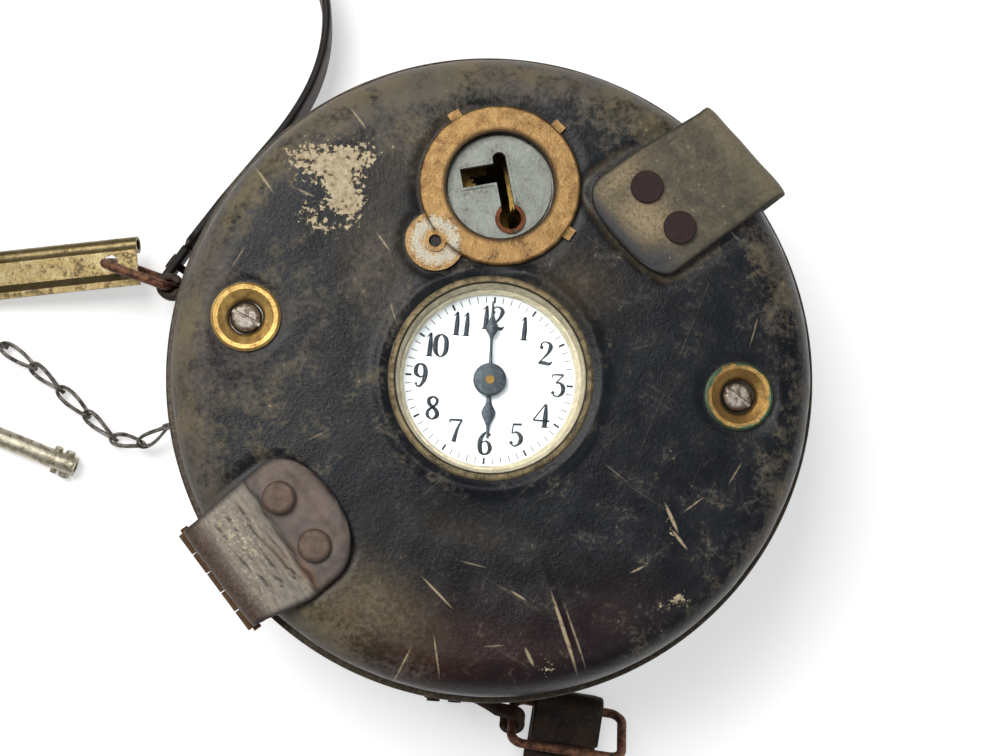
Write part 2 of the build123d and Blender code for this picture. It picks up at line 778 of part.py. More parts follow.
def mainspring_barrel():
    """A toothed floor with a thin drum and cover round the mainspring."""
    low = barrel_low + barrel_floor
    high = low + barrel_height
    wheel = gear(barrel_spot, barrel_teeth, train_module, barrel_phase, barrel_low, low)
    wheel += tube(barrel_drum, barrel_drum - barrel_wall, low, high, *barrel_spot)
    wheel += disc(barrel_drum, high - barrel_wall, high, *barrel_spot)
    return wheel - disc(barrel_arbor_radius + pivot_gap, barrel_low - 1, high + 1, *barrel_spot)


def mainspring():
    """A steel ribbon wound from the barrel's arbor out to its wall."""
    steps = 24
    inner = barrel_arbor_radius + 1.4
    outer = barrel_drum - barrel_wall - spring_thickness
    pitch = (outer - inner) / spring_turns
    low = barrel_low + barrel_floor + 0.3

    def ribbon(extra):
        last = round(spring_turns * steps)
        return [polar(inner + extra + pitch * k / steps, 360.0 * k / steps) for k in range(last + 1)]

    outline = ribbon(spring_thickness) + list(reversed(ribbon(0.0)))
    return Pos(*barrel_spot, low) * extrude(make_face(Polyline(outline, close=True)), barrel_height - barrel_wall - 0.6)


def winding_arbor():
    shaft = disc(barrel_arbor_radius, floor_top + 1.4, front_top + 2.2, *barrel_spot)
    square = Pos(*barrel_spot, 0.8) * Box(2.8, 2.8, floor_top + 0.6, align=(
        Align.CENTER, Align.CENTER, Align.MIN))
    ratchet = []
    for k in range(24):
        ratchet += [polar(8.0, 15.0 * k), polar(7.0, 15.0 * k)]
    wheel = Pos(*barrel_spot, front_top + 0.5) * extrude(make_face(Polyline(ratchet, close=True)), 1.2)
    return shaft + square + wheel


def centre_wheel():
    wheel = gear(centre_spot, centre_teeth, centre_module, centre_phase, centre_wheel_low, centre_wheel_low + 1.2,
                 arms=4)
    pinion = gear(centre_spot, centre_pinion_teeth, train_module, centre_pinion_phase, barrel_low - 1.5,
                  barrel_low + 3.5)
    return wheel + pinion + arbor(centre_spot, arbor_low, dial_top + 3.0)


def third_wheel():
    wheel = gear(third_spot, third_teeth, third_module, third_phase, third_wheel_low, third_wheel_low + 1.0, arms=4)
    pinion = gear(third_spot, third_pinion_teeth, centre_module, third_pinion_phase, centre_wheel_low - 1.5,
                  centre_wheel_low + 3.0)
    return wheel + pinion + arbor(third_spot, arbor_low, arbor_high)


def fourth_wheel():
    wheel = gear(fourth_spot, fourth_teeth, fourth_module, fourth_phase, fourth_wheel_low, fourth_wheel_low + 0.9,
                 arms=4)
    pinion = gear(fourth_spot, fourth_pinion_teeth, third_module, fourth_pinion_phase, third_wheel_low - 1.5,
                  third_wheel_low + 2.5)
    return wheel + pinion + arbor(fourth_spot, arbor_low, arbor_high)


def escape_wheel():
    tip = 8.0
    outline = []
    for k in range(escape_teeth):
        start = 360.0 * k / escape_teeth
        outline += [polar(tip, start), polar(tip, start + 2.0), polar(tip - 1.9, start + 5.0),
                    polar(tip - 1.9, start + 21.0)]
    face = make_face(Polyline(outline, close=True))
    wheel = Pos(*escape_spot, escape_wheel_low) * extrude(face, 0.8)
    pinion = gear(escape_spot, escape_pinion_teeth, fourth_module, escape_pinion_phase, fourth_wheel_low - 1.5,
                  fourth_wheel_low + 2.5)
    return wheel + pinion + arbor(escape_spot, arbor_low, arbor_high, 0.7)


pallet_lean = math.degrees(math.atan2(balance_spot[1] - pallet_spot[1], balance_spot[0] - pallet_spot[0]))


def pallet_fork():
    bar = Pos(-0.6, 0) * Rectangle(1.6, 11.0)
    lever = Pos(6.6, 0) * Rectangle(13.2, 1.2)
    horns = Pos(13.6, 1.3) * Rectangle(2.4, 0.9) + Pos(13.6, -1.3) * Rectangle(2.4, 0.9)
    horns += Pos(12.8, 0) * Rectangle(0.9, 3.4)
    face = bar + lever + horns
    for side in (1, -1):
        face += Pos(-1.6, side * 5.2) * Rectangle(2.4, 1.1)
    fork = Pos(*pallet_spot, escape_wheel_low) * Rot(0, 0, pallet_lean) * extrude(face, 0.9)
    return fork + arbor(pallet_spot, arbor_low, arbor_high, 0.7)


def balance_wheel():
    rim = tube(12.0, 10.4, 26.5, 28.0, *balance_spot)
    spokes = Pos(*balance_spot, 26.5) * Box(22.0, 1.6, 1.2, align=(Align.CENTER, Align.CENTER, Align.MIN))
    spokes += Pos(*balance_spot, 26.5) * Box(1.6, 22.0, 1.2, align=(Align.CENTER, Align.CENTER, Align.MIN))
    roller = disc(2.2, escape_wheel_low + 2.2, escape_wheel_low + 3.0, *balance_spot)
    return rim + spokes + roller + arbor(balance_spot, arbor_low, arbor_high, 0.7)


def hairspring():
    """A flat spiral of six turns, its outer end on the stud by the back plate's pillar."""
    turns, steps, inner, pitch, thick = 6, 24, 1.4, 0.85, 0.25
    count = round(turns * steps)

    def spiral(extra):
        return [polar(inner + extra + pitch * k / steps, 360.0 * k / steps) for k in range(count + 1)]

    outline = spiral(thick) + list(reversed(spiral(0.0)))
    return Pos(*balance_spot, 29.6) * extrude(make_face(Polyline(outline, close=True)), 0.8)


def plate_with_holes(low, wheels):
    plate = disc(plate_radius, low, low + plate_thickness)
    for spot, radius in wheels:
        plate -= disc(radius + pivot_gap, low - 1, low + plate_thickness + 1, *spot)
    return plate


def back_plate():
    plate = plate_with_holes(back_plate_z, [
        (barrel_spot, barrel_arbor_radius), (centre_spot, arbor_radius), (third_spot, arbor_radius),
        (fourth_spot, arbor_radius), (escape_spot, 0.7), (pallet_spot, 0.7), (balance_spot, 0.7),
        (type_spot, arbor_radius), (supply_spot, arbor_radius), (takeup_spot, arbor_radius)])
    return plate


hammer_spot = (24.0, tape_line + 6.3)


def front_plate():
    plate = plate_with_holes(front_plate_z, [
        (barrel_spot, barrel_arbor_radius), (centre_spot, arbor_radius), (third_spot, arbor_radius),
        (fourth_spot, arbor_radius), (escape_spot, 0.7), (pallet_spot, 0.7), (balance_spot, 0.7),
        (type_spot, arbor_radius)])
    for spot in (supply_spot, takeup_spot):
        plate -= disc(spool_radius + 1.0, front_plate_z - 1, front_top + 1, *spot)
    plate -= disc(keyhole_radius + 1.9, front_plate_z - 1, front_top + 1, keyhole_x, keyhole_y)
    plate -= Pos(0, 0, front_plate_z - 1) * extrude(key_cut(0.6), 4)
    for spot, top in ((minute_wheel_spot, motion_low + 4.4), (idler_spot, motion_low + 4.2)):
        plate += disc(arbor_radius, front_plate_z, top, *spot)
    return plate


def plate_pillars():
    posts = []
    for angle in pillar_angles:
        x, y = polar(pillar_ring, angle)
        posts.append(disc(pillar_radius, back_top, front_under, x, y))
        posts.append(disc(pillar_radius + 1.0, floor_top, back_plate_z, x, y))
    return posts


def key_guide():
    low = front_under - 9.0
    guide = tube(keyhole_radius + 1.8, keyhole_radius + 0.1, low, liner_under - 5.0, keyhole_x, keyhole_y)
    guide += tube(keyhole_radius + 3.6, keyhole_radius + 0.1, front_top, front_top + 1.0, keyhole_x, keyhole_y)
    return guide - Pos(0, 0, low - 1) * extrude(key_cut(0.3), 30)


save("mainspring_barrel", mainspring_barrel())
save("mainspring", mainspring())
save("winding_arbor", winding_arbor())
save("centre_wheel", centre_wheel())
save("third_wheel", third_wheel())
save("fourth_wheel", fourth_wheel())
save("escape_wheel", escape_wheel())
save("pallet_fork", pallet_fork())
save("balance_wheel", balance_wheel())
save("hairspring", hairspring())
save("back_plate", back_plate())
save("front_plate", front_plate())
save("plate_pillars", *plate_pillars())
save("key_guide", key_guide())


# Recording tape, its spools and the print hammer
def spool(spot, roll):
    low = tape_low - 1.2
    high = tape_low + tape_width + 0.2
    reel = disc(spool_radius, low, low + 1.0, *spot) + disc(roll, low + 1.0, high, *spot)
    return reel + disc(spool_core, high, high + 8.0, *spot) + arbor(spot, arbor_low, low)


def paper_tape():
    line = Polyline([(supply_spot[0] + 1.5, supply_spot[1] + supply_roll + 0.8), (-post_spread, tape_line),
                     (post_spread, tape_line), (takeup_spot[0] - 3.5, takeup_spot[1] + takeup_roll + 0.4)])
    face = trace(line, tape_thickness)
    return Pos(0, 0, tape_low) * extrude(face, tape_width)


def tape_rollers():
    rollers = []
    for x in (1.5 - post_spread, post_spread - 1.5):
        rollers.append(disc(1.8, back_top, front_under, x, tape_line - 2.3))
    return rollers


def print_hammer():
    reach = 23.0
    arm = Pos(hammer_spot[0] - reach / 2, hammer_spot[1], tape_low + 2) * Box(reach, 3.0, tape_width - 4, align=(
        Align.CENTER, Align.CENTER, Align.MIN))
    head = Pos(keyhole_x, hammer_spot[1] - 2.6, tape_low + 2) * Box(9.0, 4.0, tape_width - 4, align=(
        Align.CENTER, Align.CENTER, Align.MIN))
    boss = tube(3.0, arbor_radius + pivot_gap, tape_low + 2, tape_low + tape_width - 2, *hammer_spot)
    return arm - disc(2.0, tape_low, tape_low + tape_width, *hammer_spot) + head + boss


save("supply_spool", spool(supply_spot, supply_roll))
save("takeup_spool", spool(takeup_spot, takeup_roll))
save("paper_tape", paper_tape())
save("tape_posts", *tape_rollers(), disc(arbor_radius, back_top, front_under, *hammer_spot))
save("print_hammer", print_hammer())


# Wire rings: rounded rectangles of round wire
def wire_loop(plane, outline, radius):
    """Round wire bent along a closed outline on a plane."""
    path = (plane * outline).wire()
    section = Plane(origin=path @ 0, z_dir=path % 0) * Circle(radius)
    return sweep(section, path=path, transition=Transition.RIGHT)


left_ring_centre = Vector(*polar(body_radius + left_ring_out, left_ring_at), left_ring_height)
bottom_ring_centre = Vector(*polar(body_radius + bottom_ring_out, bottom_ring_at), bottom_ring_height)
left_ring_plane = Plane(origin=left_ring_centre, x_dir=left_ring_run, z_dir=left_ring_run.cross(left_ring_rise))
bottom_ring_plane = Plane(origin=bottom_ring_centre, x_dir=bottom_ring_run,
                          z_dir=bottom_ring_run.cross(bottom_ring_rise))
left_outline = RectangleRounded(2 * left_ring_half_run, 2 * left_ring_half_height, ring_corner)
bottom_outline = RectangleRounded(2 * bottom_ring_half_run, 2 * bottom_ring_half_height, ring_corner)
save("left_ring", wire_loop(left_ring_plane, left_outline, wire_radius))
save("bottom_ring", wire_loop(bottom_ring_plane, bottom_outline, wire_radius))

# The strap's folded ends: a bend of leather round one bar of the ring, with a rivet through its tails
fold_in = wire_radius + fold_gap
fold_mid = fold_in + strap_thickness / 2
fold_out = fold_in + strap_thickness


def bar_plane(origin, up, run):
    """A plane square to a ring's bar, its X along the strap that is folded round the bar."""
    level = run - up * run.dot(up)
    return Plane(origin=origin, x_dir=level, z_dir=up)


def folded_end(plane, width, low, tail, main_side, main_tail):
    """A fold open towards +X: a half round behind the bar and two tails, the longer one the strap's."""
    bend = (Circle(fold_out) - Circle(fold_in)) & Pos(-fold_out, 0) * Rectangle(2 * fold_out, 3 * fold_out)
    main = Pos(main_tail / 2, main_side * fold_mid) * Rectangle(main_tail, strap_thickness)
    back = Pos(tail / 2, -main_side * fold_mid) * Rectangle(tail, strap_thickness)
    return plane * Pos(0, 0, low) * extrude(bend + main + back, width)


left_up = left_ring_rise.normalized()
left_bar = left_ring_centre - left_ring_run.normalized() * left_ring_half_run
left_run = Vector(*polar(1, left_strap_heading), 0)
left_bar_plane = bar_plane(left_bar, left_up, left_run)
left_main_tail = left_tail + 3.0
bottom_across = bottom_ring_run.normalized()
bottom_bar = bottom_ring_centre - bottom_ring_rise.normalized() * bottom_ring_half_height
bottom_run = Vector(bottom_across.Y, -bottom_across.X, 0)
bottom_bar_plane = bar_plane(bottom_bar, bottom_across, bottom_run)
bottom_main_tail = bottom_tail + 3.0
left_fold_low = -ring_corner - strap_end_width / 2 + 0.6


def strap_rivet(plane, x, low):
    """A flat-headed rivet through both tails of a fold."""
    cross = plane * Plane.XZ * Pos(x, low, 0)
    shank = cross * Pos(0, 0, -fold_out) * extrude(Circle(1.0), 2 * fold_out)
    heads = cross * Pos(0, 0, -fold_out - 0.7) * extrude(Circle(2.2), 0.7)
    heads += cross * Pos(0, 0, fold_out) * extrude(Circle(2.2), 0.7)
    return shank + heads


left_end = folded_end(left_bar_plane, strap_end_width, left_fold_low, left_tail, 1, left_main_tail)
bottom_end = folded_end(bottom_bar_plane, strap_width - 1.0, -(strap_width - 1.0) / 2, bottom_tail, 1,
                        bottom_main_tail)
left_rivet = strap_rivet(left_bar_plane, 4.6, left_fold_low + strap_end_width / 2)
bottom_rivet = strap_rivet(bottom_bar_plane, 6.2, 0.0)
save("left_strap_end", left_end - left_rivet)
save("bottom_strap_end", bottom_end - bottom_rivet)

# Strap: flat sections set along runs and arcs, upright on the table and turning flat at the bottom ring
left_exit = left_bar_plane * Pos(left_main_tail, fold_mid, left_fold_low + strap_end_width / 2)
bottom_exit = bottom_bar_plane * Pos(bottom_main_tail, fold_mid, 0)
strap_start = left_exit.position
strap_finish = bottom_exit.position
strap_points = [strap_start] + [Vector(*p) for p in strap_route] + [strap_finish]


def corner_radii(points):
    """The largest tidy arc at each corner: 0.45 of the shorter run over the tangent of half the turn."""
    radii = []
    for before, here, after in zip(points, points[1:], points[2:]):
        turn = (here - before).get_angle(after - here)
        shorter = min((here - before).length, (after - here).length)
        radii.append(0.45 * shorter / math.tan(math.radians(turn) / 2))
    return radii


strap_radii = corner_radii(strap_points)
strap_path = FilletPolyline(*strap_points, radius=strap_radii)
print("strap radii", [round(r) for r in strap_radii], "length", round(strap_path.length, 1))


def strap_turn(height):
    """How far the strap has turned from upright to flat where its middle is at a height."""
    if height >= upright:
        return 0.0
    for (high, more), (low, less) in zip(strap_turns, strap_turns[1:]):
        if height >= low:
            return more + (less - more) * (high - height) / (high - low)
    return strap_turns[-1][1]


def strap_section(edge, share):
    """A plane across the strap at a share of one run or arc, its X along the strap's width."""
    point = edge @ share
    along = edge % share
    across = Vector(0, 0, 1)
    across = (across - along * across.dot(along)).normalized()
    return Plane(origin=point, x_dir=across.rotate(Axis((0, 0, 0), along), strap_turn(point.Z)), z_dir=along)


def shoulder_strap():
    """A ruled loft that starts and ends on the end faces of the folds."""
    planes = [Plane(origin=strap_start, x_dir=left_up, z_dir=left_bar_plane.x_dir)]
    for edge in strap_path.edges():
        steps = 1 if edge.geom_type == GeomType.LINE else 3
        planes += [strap_section(edge, (k + 1) / steps) for k in range(steps)]
    planes[-1] = Plane(origin=strap_finish, x_dir=bottom_across, z_dir=-bottom_bar_plane.x_dir)
    return loft([plane * Rectangle(strap_width, strap_thickness) for plane in planes], ruled=True)


strap = shoulder_strap()
print("strap volume over section times length",
      round(strap.volume / (strap_width * strap_thickness * strap_path.length), 4))
save("shoulder_strap", strap)


# Leather thongs that hold the rings to the drum, and the rivet heads on the drum's side
thong_high = 4.5


def ring_thong(plane, low, high, start, foot, end, tail_low, tail_high):
    """An eye round a ring's bar and a tail that lies along the drum's side."""
    eye = plane * Pos(0, 0, low) * extrude(Circle(fold_in + thong), high - low)
    tail = trace(Polyline(start, foot, end), thong)
    strip = Pos(0, 0, tail_low) * extrude(tail, tail_high - tail_low)
    return eye + strip - plane * Pos(0, 0, low - 30) * extrude(Circle(fold_in), high - low + 60)


thong_reach = body_radius + 0.15 + thong / 2
left_thong_low = left_fold_low + strap_end_width + 0.4
left_thong_z = (left_bar + left_up * left_thong_low).Z
left_thong_start = (left_bar.X + 2.52, left_bar.Y - 1.08)
left_chape = ring_thong(left_bar_plane, left_thong_low, left_thong_low + thong_high, left_thong_start,
                        (-thong_reach, 9.0), (-thong_reach, -4.0), left_thong_z, left_thong_z + thong_high)
bottom_end_bar = bottom_ring_centre - bottom_across * bottom_ring_half_run
bottom_up = bottom_ring_rise.normalized()
bottom_thong_plane = Plane(origin=bottom_end_bar, x_dir=bottom_ring_run, z_dir=bottom_up)
bottom_thong_z = bottom_end_bar.Z - thong_high / 2
bottom_chape = ring_thong(bottom_thong_plane, -thong_high / 2, thong_high / 2,
                          (bottom_end_bar.X, bottom_end_bar.Y + 2.5), (2.0, -thong_reach), (-9.0, -thong_reach),
                          bottom_thong_z, bottom_thong_z + thong_high)
save("ring_chapes", left_chape, bottom_chape)


def side_rivet(x, y, z, direction):
    """A low rivet head on a flat face of the drum's side."""
    plane = Plane(origin=(x, y, z), z_dir=direction)
    return plane * extrude(Circle(1.7), 0.7)


thong_face = thong_reach + thong / 2
leaf_face = body_radius + 0.1 + 1.4
leaf_rivets = [wall_plane(leaf_face, hinge_angle, hinge_height - 12.0) * Pos(x, 0, 0) * extrude(Circle(2.0), 0.7)
               for x in (-9.0, 9.0)]
save("small_rivets", left_rivet, bottom_rivet, *leaf_rivets,
     side_rivet(-thong_face, 3.0, left_thong_z + thong_high / 2, (-1, 0, 0)),
     side_rivet(-thong_face, -2.0, left_thong_z + thong_high / 2, (-1, 0, 0)),
     side_rivet(-1.5, -thong_face, bottom_thong_z + thong_high / 2, (0, -1, 0)),
     side_rivet(-7.0, -thong_face, bottom_thong_z + thong_high / 2, (0, -1, 0)))

# Chain: a staple on the drum, wire links laid along the table and the case key
staple_angle = 190.5
staple_height = 11.0
staple_reach = 5.0
staple_half = 3.0


def chain_staple():
    plane = wall_plane(body_radius, staple_angle, staple_height)
    flat_plane = Plane(origin=plane.origin, x_dir=plane.z_dir, z_dir=plane.x_dir)
    out = staple_reach - staple_half
    path = Line((0.1, staple_half), (out, staple_half))
    path += ThreePointArc((out, staple_half), (staple_reach, 0), (out, -staple_half))
    path += Line((out, -staple_half), (0.1, -staple_half))
    wire = flat_plane * path
    foot = (flat_plane * Pos(0.1, staple_half, 0)).position
    return sweep(Plane(origin=foot, z_dir=plane.z_dir) * Circle(chain_wire), path=wire)


link_length = link_reach + 2 * chain_wire + chain_slack
link_drop = link_width / 2 * math.sqrt(0.5) + chain_wire
chain_low = 0.2 + link_drop
end_reach = (link_length - link_reach) / 2
staple_tip = Vector(*polar(body_radius + staple_reach - 2 * chain_wire - 0.25 + end_reach, staple_angle),
                    staple_height)
key_bow = Vector(*offset_spot(key_tip, key_length - key_bow_radius, key_angle), key_height)
bow_turn = 128.0
bow_tip = key_bow + Vector(*polar(key_bow_hole - chain_wire - 0.45 + end_reach, bow_turn), 0)
chain_course = [staple_tip, Vector(-87.4, -19.6, 6.4), Vector(-92.6, -20.6, chain_low),
                Vector(-100.6, -14.6, chain_low), Vector(-115.4, -2.7, chain_low),
                Vector(-129.0, 5.2, chain_low), Vector(-139.5, 5.8, chain_low), Vector(-147.0, 1.6, chain_low),
                Vector(-149.6, -5.2, chain_low),
                bow_tip]


def course_point(distance):
    """The point at a distance along the chain's course."""
    left = distance
    for here, there in zip(chain_course, chain_course[1:]):
        run = (there - here).length
        if left <= run:
            return here + (there - here) * (left / run)
        left -= run
    return chain_course[-1]


course_length = sum((b - a).length for a, b in zip(chain_course, chain_course[1:]))
link_count = math.ceil(course_length / link_reach)
link_rolls = [90.0, -15.0, 60.0, -45.0]


def chain_link(here, there, roll):
    """A closed wire link between two points, rolled about the line through them."""
    along = (there - here).normalized()
    up = Vector(0, 0, 1)
    up = (up - along * up.dot(along)).normalized()
    side = up.rotate(Axis((0, 0, 0), along), roll)
    plane = Plane(origin=(here + there) / 2, x_dir=along, z_dir=along.cross(side))
    return wire_loop(plane, SlotOverall(link_length, link_width), chain_wire)


def key_chain():
    nodes = [course_point(course_length * k / link_count) for k in range(link_count + 1)]
    links = []
    for k in range(link_count):
        roll = link_rolls[k] if k < len(link_rolls) else 45.0 if k % 2 == 0 else -45.0
        links.append(chain_link(nodes[k], nodes[k + 1], roll))
    return links


def case_key():
    """A pipe key: hollow barrel with pegs, a collar and a flat ring bow."""
    plane = Plane(origin=(*key_tip, key_height), x_dir=(0, 0, 1), z_dir=Vector(*polar(1, key_angle), 0))
    shaft_end = key_length - 2 * key_bow_radius + 1.2
    key = plane * extrude(Circle(key_radius), shaft_end)
    key += plane * Pos(0, 0, shaft_end - 6.0) * extrude(Circle(key_radius + 0.3), 2.0)
    for turn, along, wide in ((70.0, 5.6, 1.1), (75.0, 2.4, 1.3), (250.0, 5.2, 0.9), (245.0, 2.3, 1.5)):
        key += plane * Pos(0, 0, along) * Rot(0, 0, turn) * Rot(0, 90, 0) * extrude(Circle(wide), key_radius + 1.0)
    key -= plane * extrude(Circle(key_radius - 1.0), 9.0)
    bow = Pos(key_bow.X, key_bow.Y, key_height - key_bow_thickness / 2) * extrude(
        Circle(key_bow_radius), key_bow_thickness)
    hole = Pos(key_bow.X, key_bow.Y, key_height - 3) * extrude(Circle(key_bow_hole), 6)
    return key + bow - hole


save("chain_staple", chain_staple())
save("key_chain", *key_chain())
save("case_key", case_key())


# Pressed metal strip hooked on the left ring's outer bar
left_outer_bar = left_ring_centre + left_ring_run.normalized() * left_ring_half_run


def pressed_strip():
    """A trough pressed from sheet with one edge rolled into a tube and a slot for the ring's bar."""
    half = strip_width / 2
    web = Polyline([(half - 2.0, 2.0), (half - 3.6, 0.2), (-half + 3.4, 0.2), (-half + 1.8, 1.6), (-half, 1.6)])
    section = trace(web, 0.9) + Pos(half - 1.9, 2.4) * Circle(2.2) - Pos(half - 1.9, 2.4) * Circle(1.4)
    along = Vector(*polar(1, strip_angle), -math.tan(math.radians(strip_slope))).normalized()
    across = Vector(*polar(1, strip_angle - 90.0), 0)
    start = left_outer_bar - along * 7.0
    plane = Plane(origin=start, x_dir=across, z_dir=along)
    strip = plane * extrude(section, strip_length)
    slot = Plane(origin=left_outer_bar, z_dir=left_up) * Pos(0, 0, -8) * extrude(Circle(wire_radius + 0.8), 16)
    return strip - slot


save("pressed_strip", pressed_strip())
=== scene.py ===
import math
import bmesh
import bpy
import numpy as np
from mathutils import Matrix


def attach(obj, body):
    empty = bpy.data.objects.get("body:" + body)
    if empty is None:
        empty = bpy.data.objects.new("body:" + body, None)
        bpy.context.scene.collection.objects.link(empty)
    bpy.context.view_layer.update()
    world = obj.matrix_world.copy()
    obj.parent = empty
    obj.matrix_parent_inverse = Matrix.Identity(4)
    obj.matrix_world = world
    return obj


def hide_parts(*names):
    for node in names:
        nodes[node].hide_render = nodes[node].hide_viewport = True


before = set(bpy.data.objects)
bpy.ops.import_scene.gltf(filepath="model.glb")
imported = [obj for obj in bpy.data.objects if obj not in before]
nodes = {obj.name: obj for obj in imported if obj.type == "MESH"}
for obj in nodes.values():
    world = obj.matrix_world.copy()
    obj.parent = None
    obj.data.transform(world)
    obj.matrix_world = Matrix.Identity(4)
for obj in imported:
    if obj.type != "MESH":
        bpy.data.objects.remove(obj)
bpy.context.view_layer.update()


# Camera: it stands over the clock, which lies on its back, and leans a little towards the lower left.
# Its place and turn were fitted to the lid's outline, the dial and the screws in the photograph.
lean = math.radians(6.5)
heading = math.radians(240.0)
roll = math.radians(4.0)
view_angle = math.radians(26.6)
camera_spot = np.array([-0.0262, -0.0506, 0.5668])


def unit(vectors):
    """Each vector divided by its own length."""
    return vectors / np.linalg.norm(vectors, axis=-1, keepdims=True)


def stand(thing, spot, right, up, back):
    """Sets a lamp or the camera at a spot: it looks the opposite way to back."""
    matrix = np.eye(4)
    matrix[:3] = np.column_stack([right, up, back, spot])
    bpy.context.scene.collection.objects.link(thing)
    thing.matrix_world = Matrix(matrix.tolist())


back = np.array([math.sin(lean) * math.cos(heading), math.sin(lean) * math.sin(heading), math.cos(lean)])
level_up = unit(np.array([0.0, 1.0, 0.0]) - back * back[1])
level_right = np.cross(level_up, back)
camera_data = bpy.data.cameras.new("camera")
camera_data.sensor_fit = "HORIZONTAL"
camera_data.angle = view_angle
camera = bpy.data.objects.new("camera", camera_data)
stand(camera, camera_spot, level_right * math.cos(roll) + level_up * math.sin(roll),
      level_up * math.cos(roll) - level_right * math.sin(roll), back)
bpy.context.scene.camera = camera
bpy.context.scene.view_settings.view_transform = "Standard"


# Table and lights: a pale table top, one large soft lamp over the left side, a weak one over the
# right, and an even room. What the camera, a reflection or the glass sees of the table is lifted towards
# white, and what the camera sees of the room is white, so neither puts more light on the clock.
table_reach = 2.0
table_height = -0.0003
table_colour = (0.80, 0.80, 0.80, 1.0)
table_glow = 0.50
room_colour = (0.97, 0.985, 1.0, 1.0)
room_level = 0.26
seen_level = 1.0


def paint(red, green, blue):
    """A colour from its screen values, 0 to 255, as the shader wants it: below 0.04 divided by 12.92,
    above it raised to 2.4 after the usual offset."""
    share = np.array([red, green, blue]) / 255.0
    line = np.where(share <= 0.04045, share / 12.92, ((share + 0.055) / 1.055) ** 2.4)
    return (*line.tolist(), 1.0)


def node(tree, kind, values, **settings):
    """Adds a shader node. Each of its inputs is a plain value or what another node gives out."""
    made = tree.nodes.new(kind)
    for key, value in settings.items():
        setattr(made, key, value)
    for key, value in values.items():
        if isinstance(value, bpy.types.NodeSocket):
            tree.links.new(value, made.inputs[key])
        elif value is not None:
            made.inputs[key].default_value = value
    return made


def lamp(name, spot, size, watts, colour):
    """A square area lamp that faces the clock."""
    data = bpy.data.lights.new(name, "AREA")
    data.shape = "SQUARE"
    data.size = size
    data.energy = watts
    data.color = colour
    out = unit(np.array(spot))
    side = unit(np.cross([0.0, 1.0, 0.0], out))
    stand(bpy.data.objects.new(name, data), spot, side, np.cross(out, side), out)


corners = [(-table_reach, -table_reach), (table_reach, -table_reach), (table_reach, table_reach),
           (-table_reach, table_reach)]
table_mesh = bpy.data.meshes.new("table")
table_mesh.from_pydata([(x, y, table_height) for x, y in corners], [], [(0, 1, 2, 3)])
table = bpy.data.objects.new("table", table_mesh)
bpy.context.scene.collection.objects.link(table)
table_paint = bpy.data.materials.new("table_paint")
table_paint.use_nodes = True
tree = table_paint.node_tree
tree.nodes.clear()
rays = node(tree, "ShaderNodeLightPath", {}).outputs
mirrored = node(tree, "ShaderNodeMath", {0: rays["Is Glossy Ray"], 1: rays["Is Transmission Ray"]},
                operation="MAXIMUM")
seen = node(tree, "ShaderNodeMath", {0: rays["Is Camera Ray"], 1: mirrored.outputs[0]}, operation="MAXIMUM")
glow = node(tree, "ShaderNodeMath", {0: seen.outputs[0], 1: table_glow}, operation="MULTIPLY")
top_coat = node(tree, "ShaderNodeBsdfDiffuse", {"Color": table_colour})
shine = node(tree, "ShaderNodeEmission", {"Strength": glow.outputs[0]})
both = node(tree, "ShaderNodeAddShader", {0: top_coat.outputs[0], 1: shine.outputs[0]})
node(tree, "ShaderNodeOutputMaterial", {"Surface": both.outputs[0]})
table_mesh.materials.append(table_paint)

lamp("left_lamp", (-0.40, 0.30, 1.05), 0.55, 10.0, (1.0, 0.985, 0.96))
lamp("right_lamp", (0.85, -0.45, 1.0), 0.45, 1.6, (0.94, 0.97, 1.0))
room = bpy.data.worlds.new("room")
bpy.context.scene.world = room
room.use_nodes = True
tree = room.node_tree
rays = node(tree, "ShaderNodeLightPath", {}).outputs
level = node(tree, "ShaderNodeMath", {0: rays["Is Camera Ray"], 1: seen_level - room_level, 2: room_level},
             operation="MULTIPLY_ADD")
tree.nodes["Background"].inputs["Color"].default_value = room_colour
tree.links.new(level.outputs[0], tree.nodes["Background"].inputs["Strength"])


# Shoulder strap: one length of bridle leather, 19 mm wide and 2.5 mm thick, dyed dark brown and waxed,
# with a creased line along each edge. It runs on the table from the left ring round to the bottom ring,
# standing on its edge, and turns flat where it meets the bottom ring.
mm = 0.001
strap_width = 19.0
strap_thickness = 2.5
strap_route = np.array([
    (-79.096, 31.71, 13.115), (-66.3, 50.9, 9.9), (-53.6, 68.6, 9.9), (-47.4, 85.4, 9.9),
    (-48.4, 103.2, 9.9), (-58.6, 119.4, 9.9), (-78.5, 128.8, 9.9), (-105.0, 127.4, 9.9),
    (-132.0, 117.0, 9.9), (-151.0, 90.0, 9.9), (-156.6, 54.0, 9.9), (-160.4, 19.0, 9.9),
    (-158.0, -17.0, 9.9), (-151.4, -54.0, 9.9), (-138.0, -89.0, 9.9), (-113.0, -117.4, 9.9),
    (-79.0, -137.4, 9.9), (-42.0, -146.6, 9.9), (-8.5, -145.0, 9.9), (15.4, -133.4, 9.9),
    (25.0, -120.6, 9.25), (26.4, -110.0, 6.3), (27.0, -100.7, 1.93), (27.503, -92.172, 1.92)])
left_up = np.array([-0.03, -0.16, 0.987])
ring_reach = 14.0


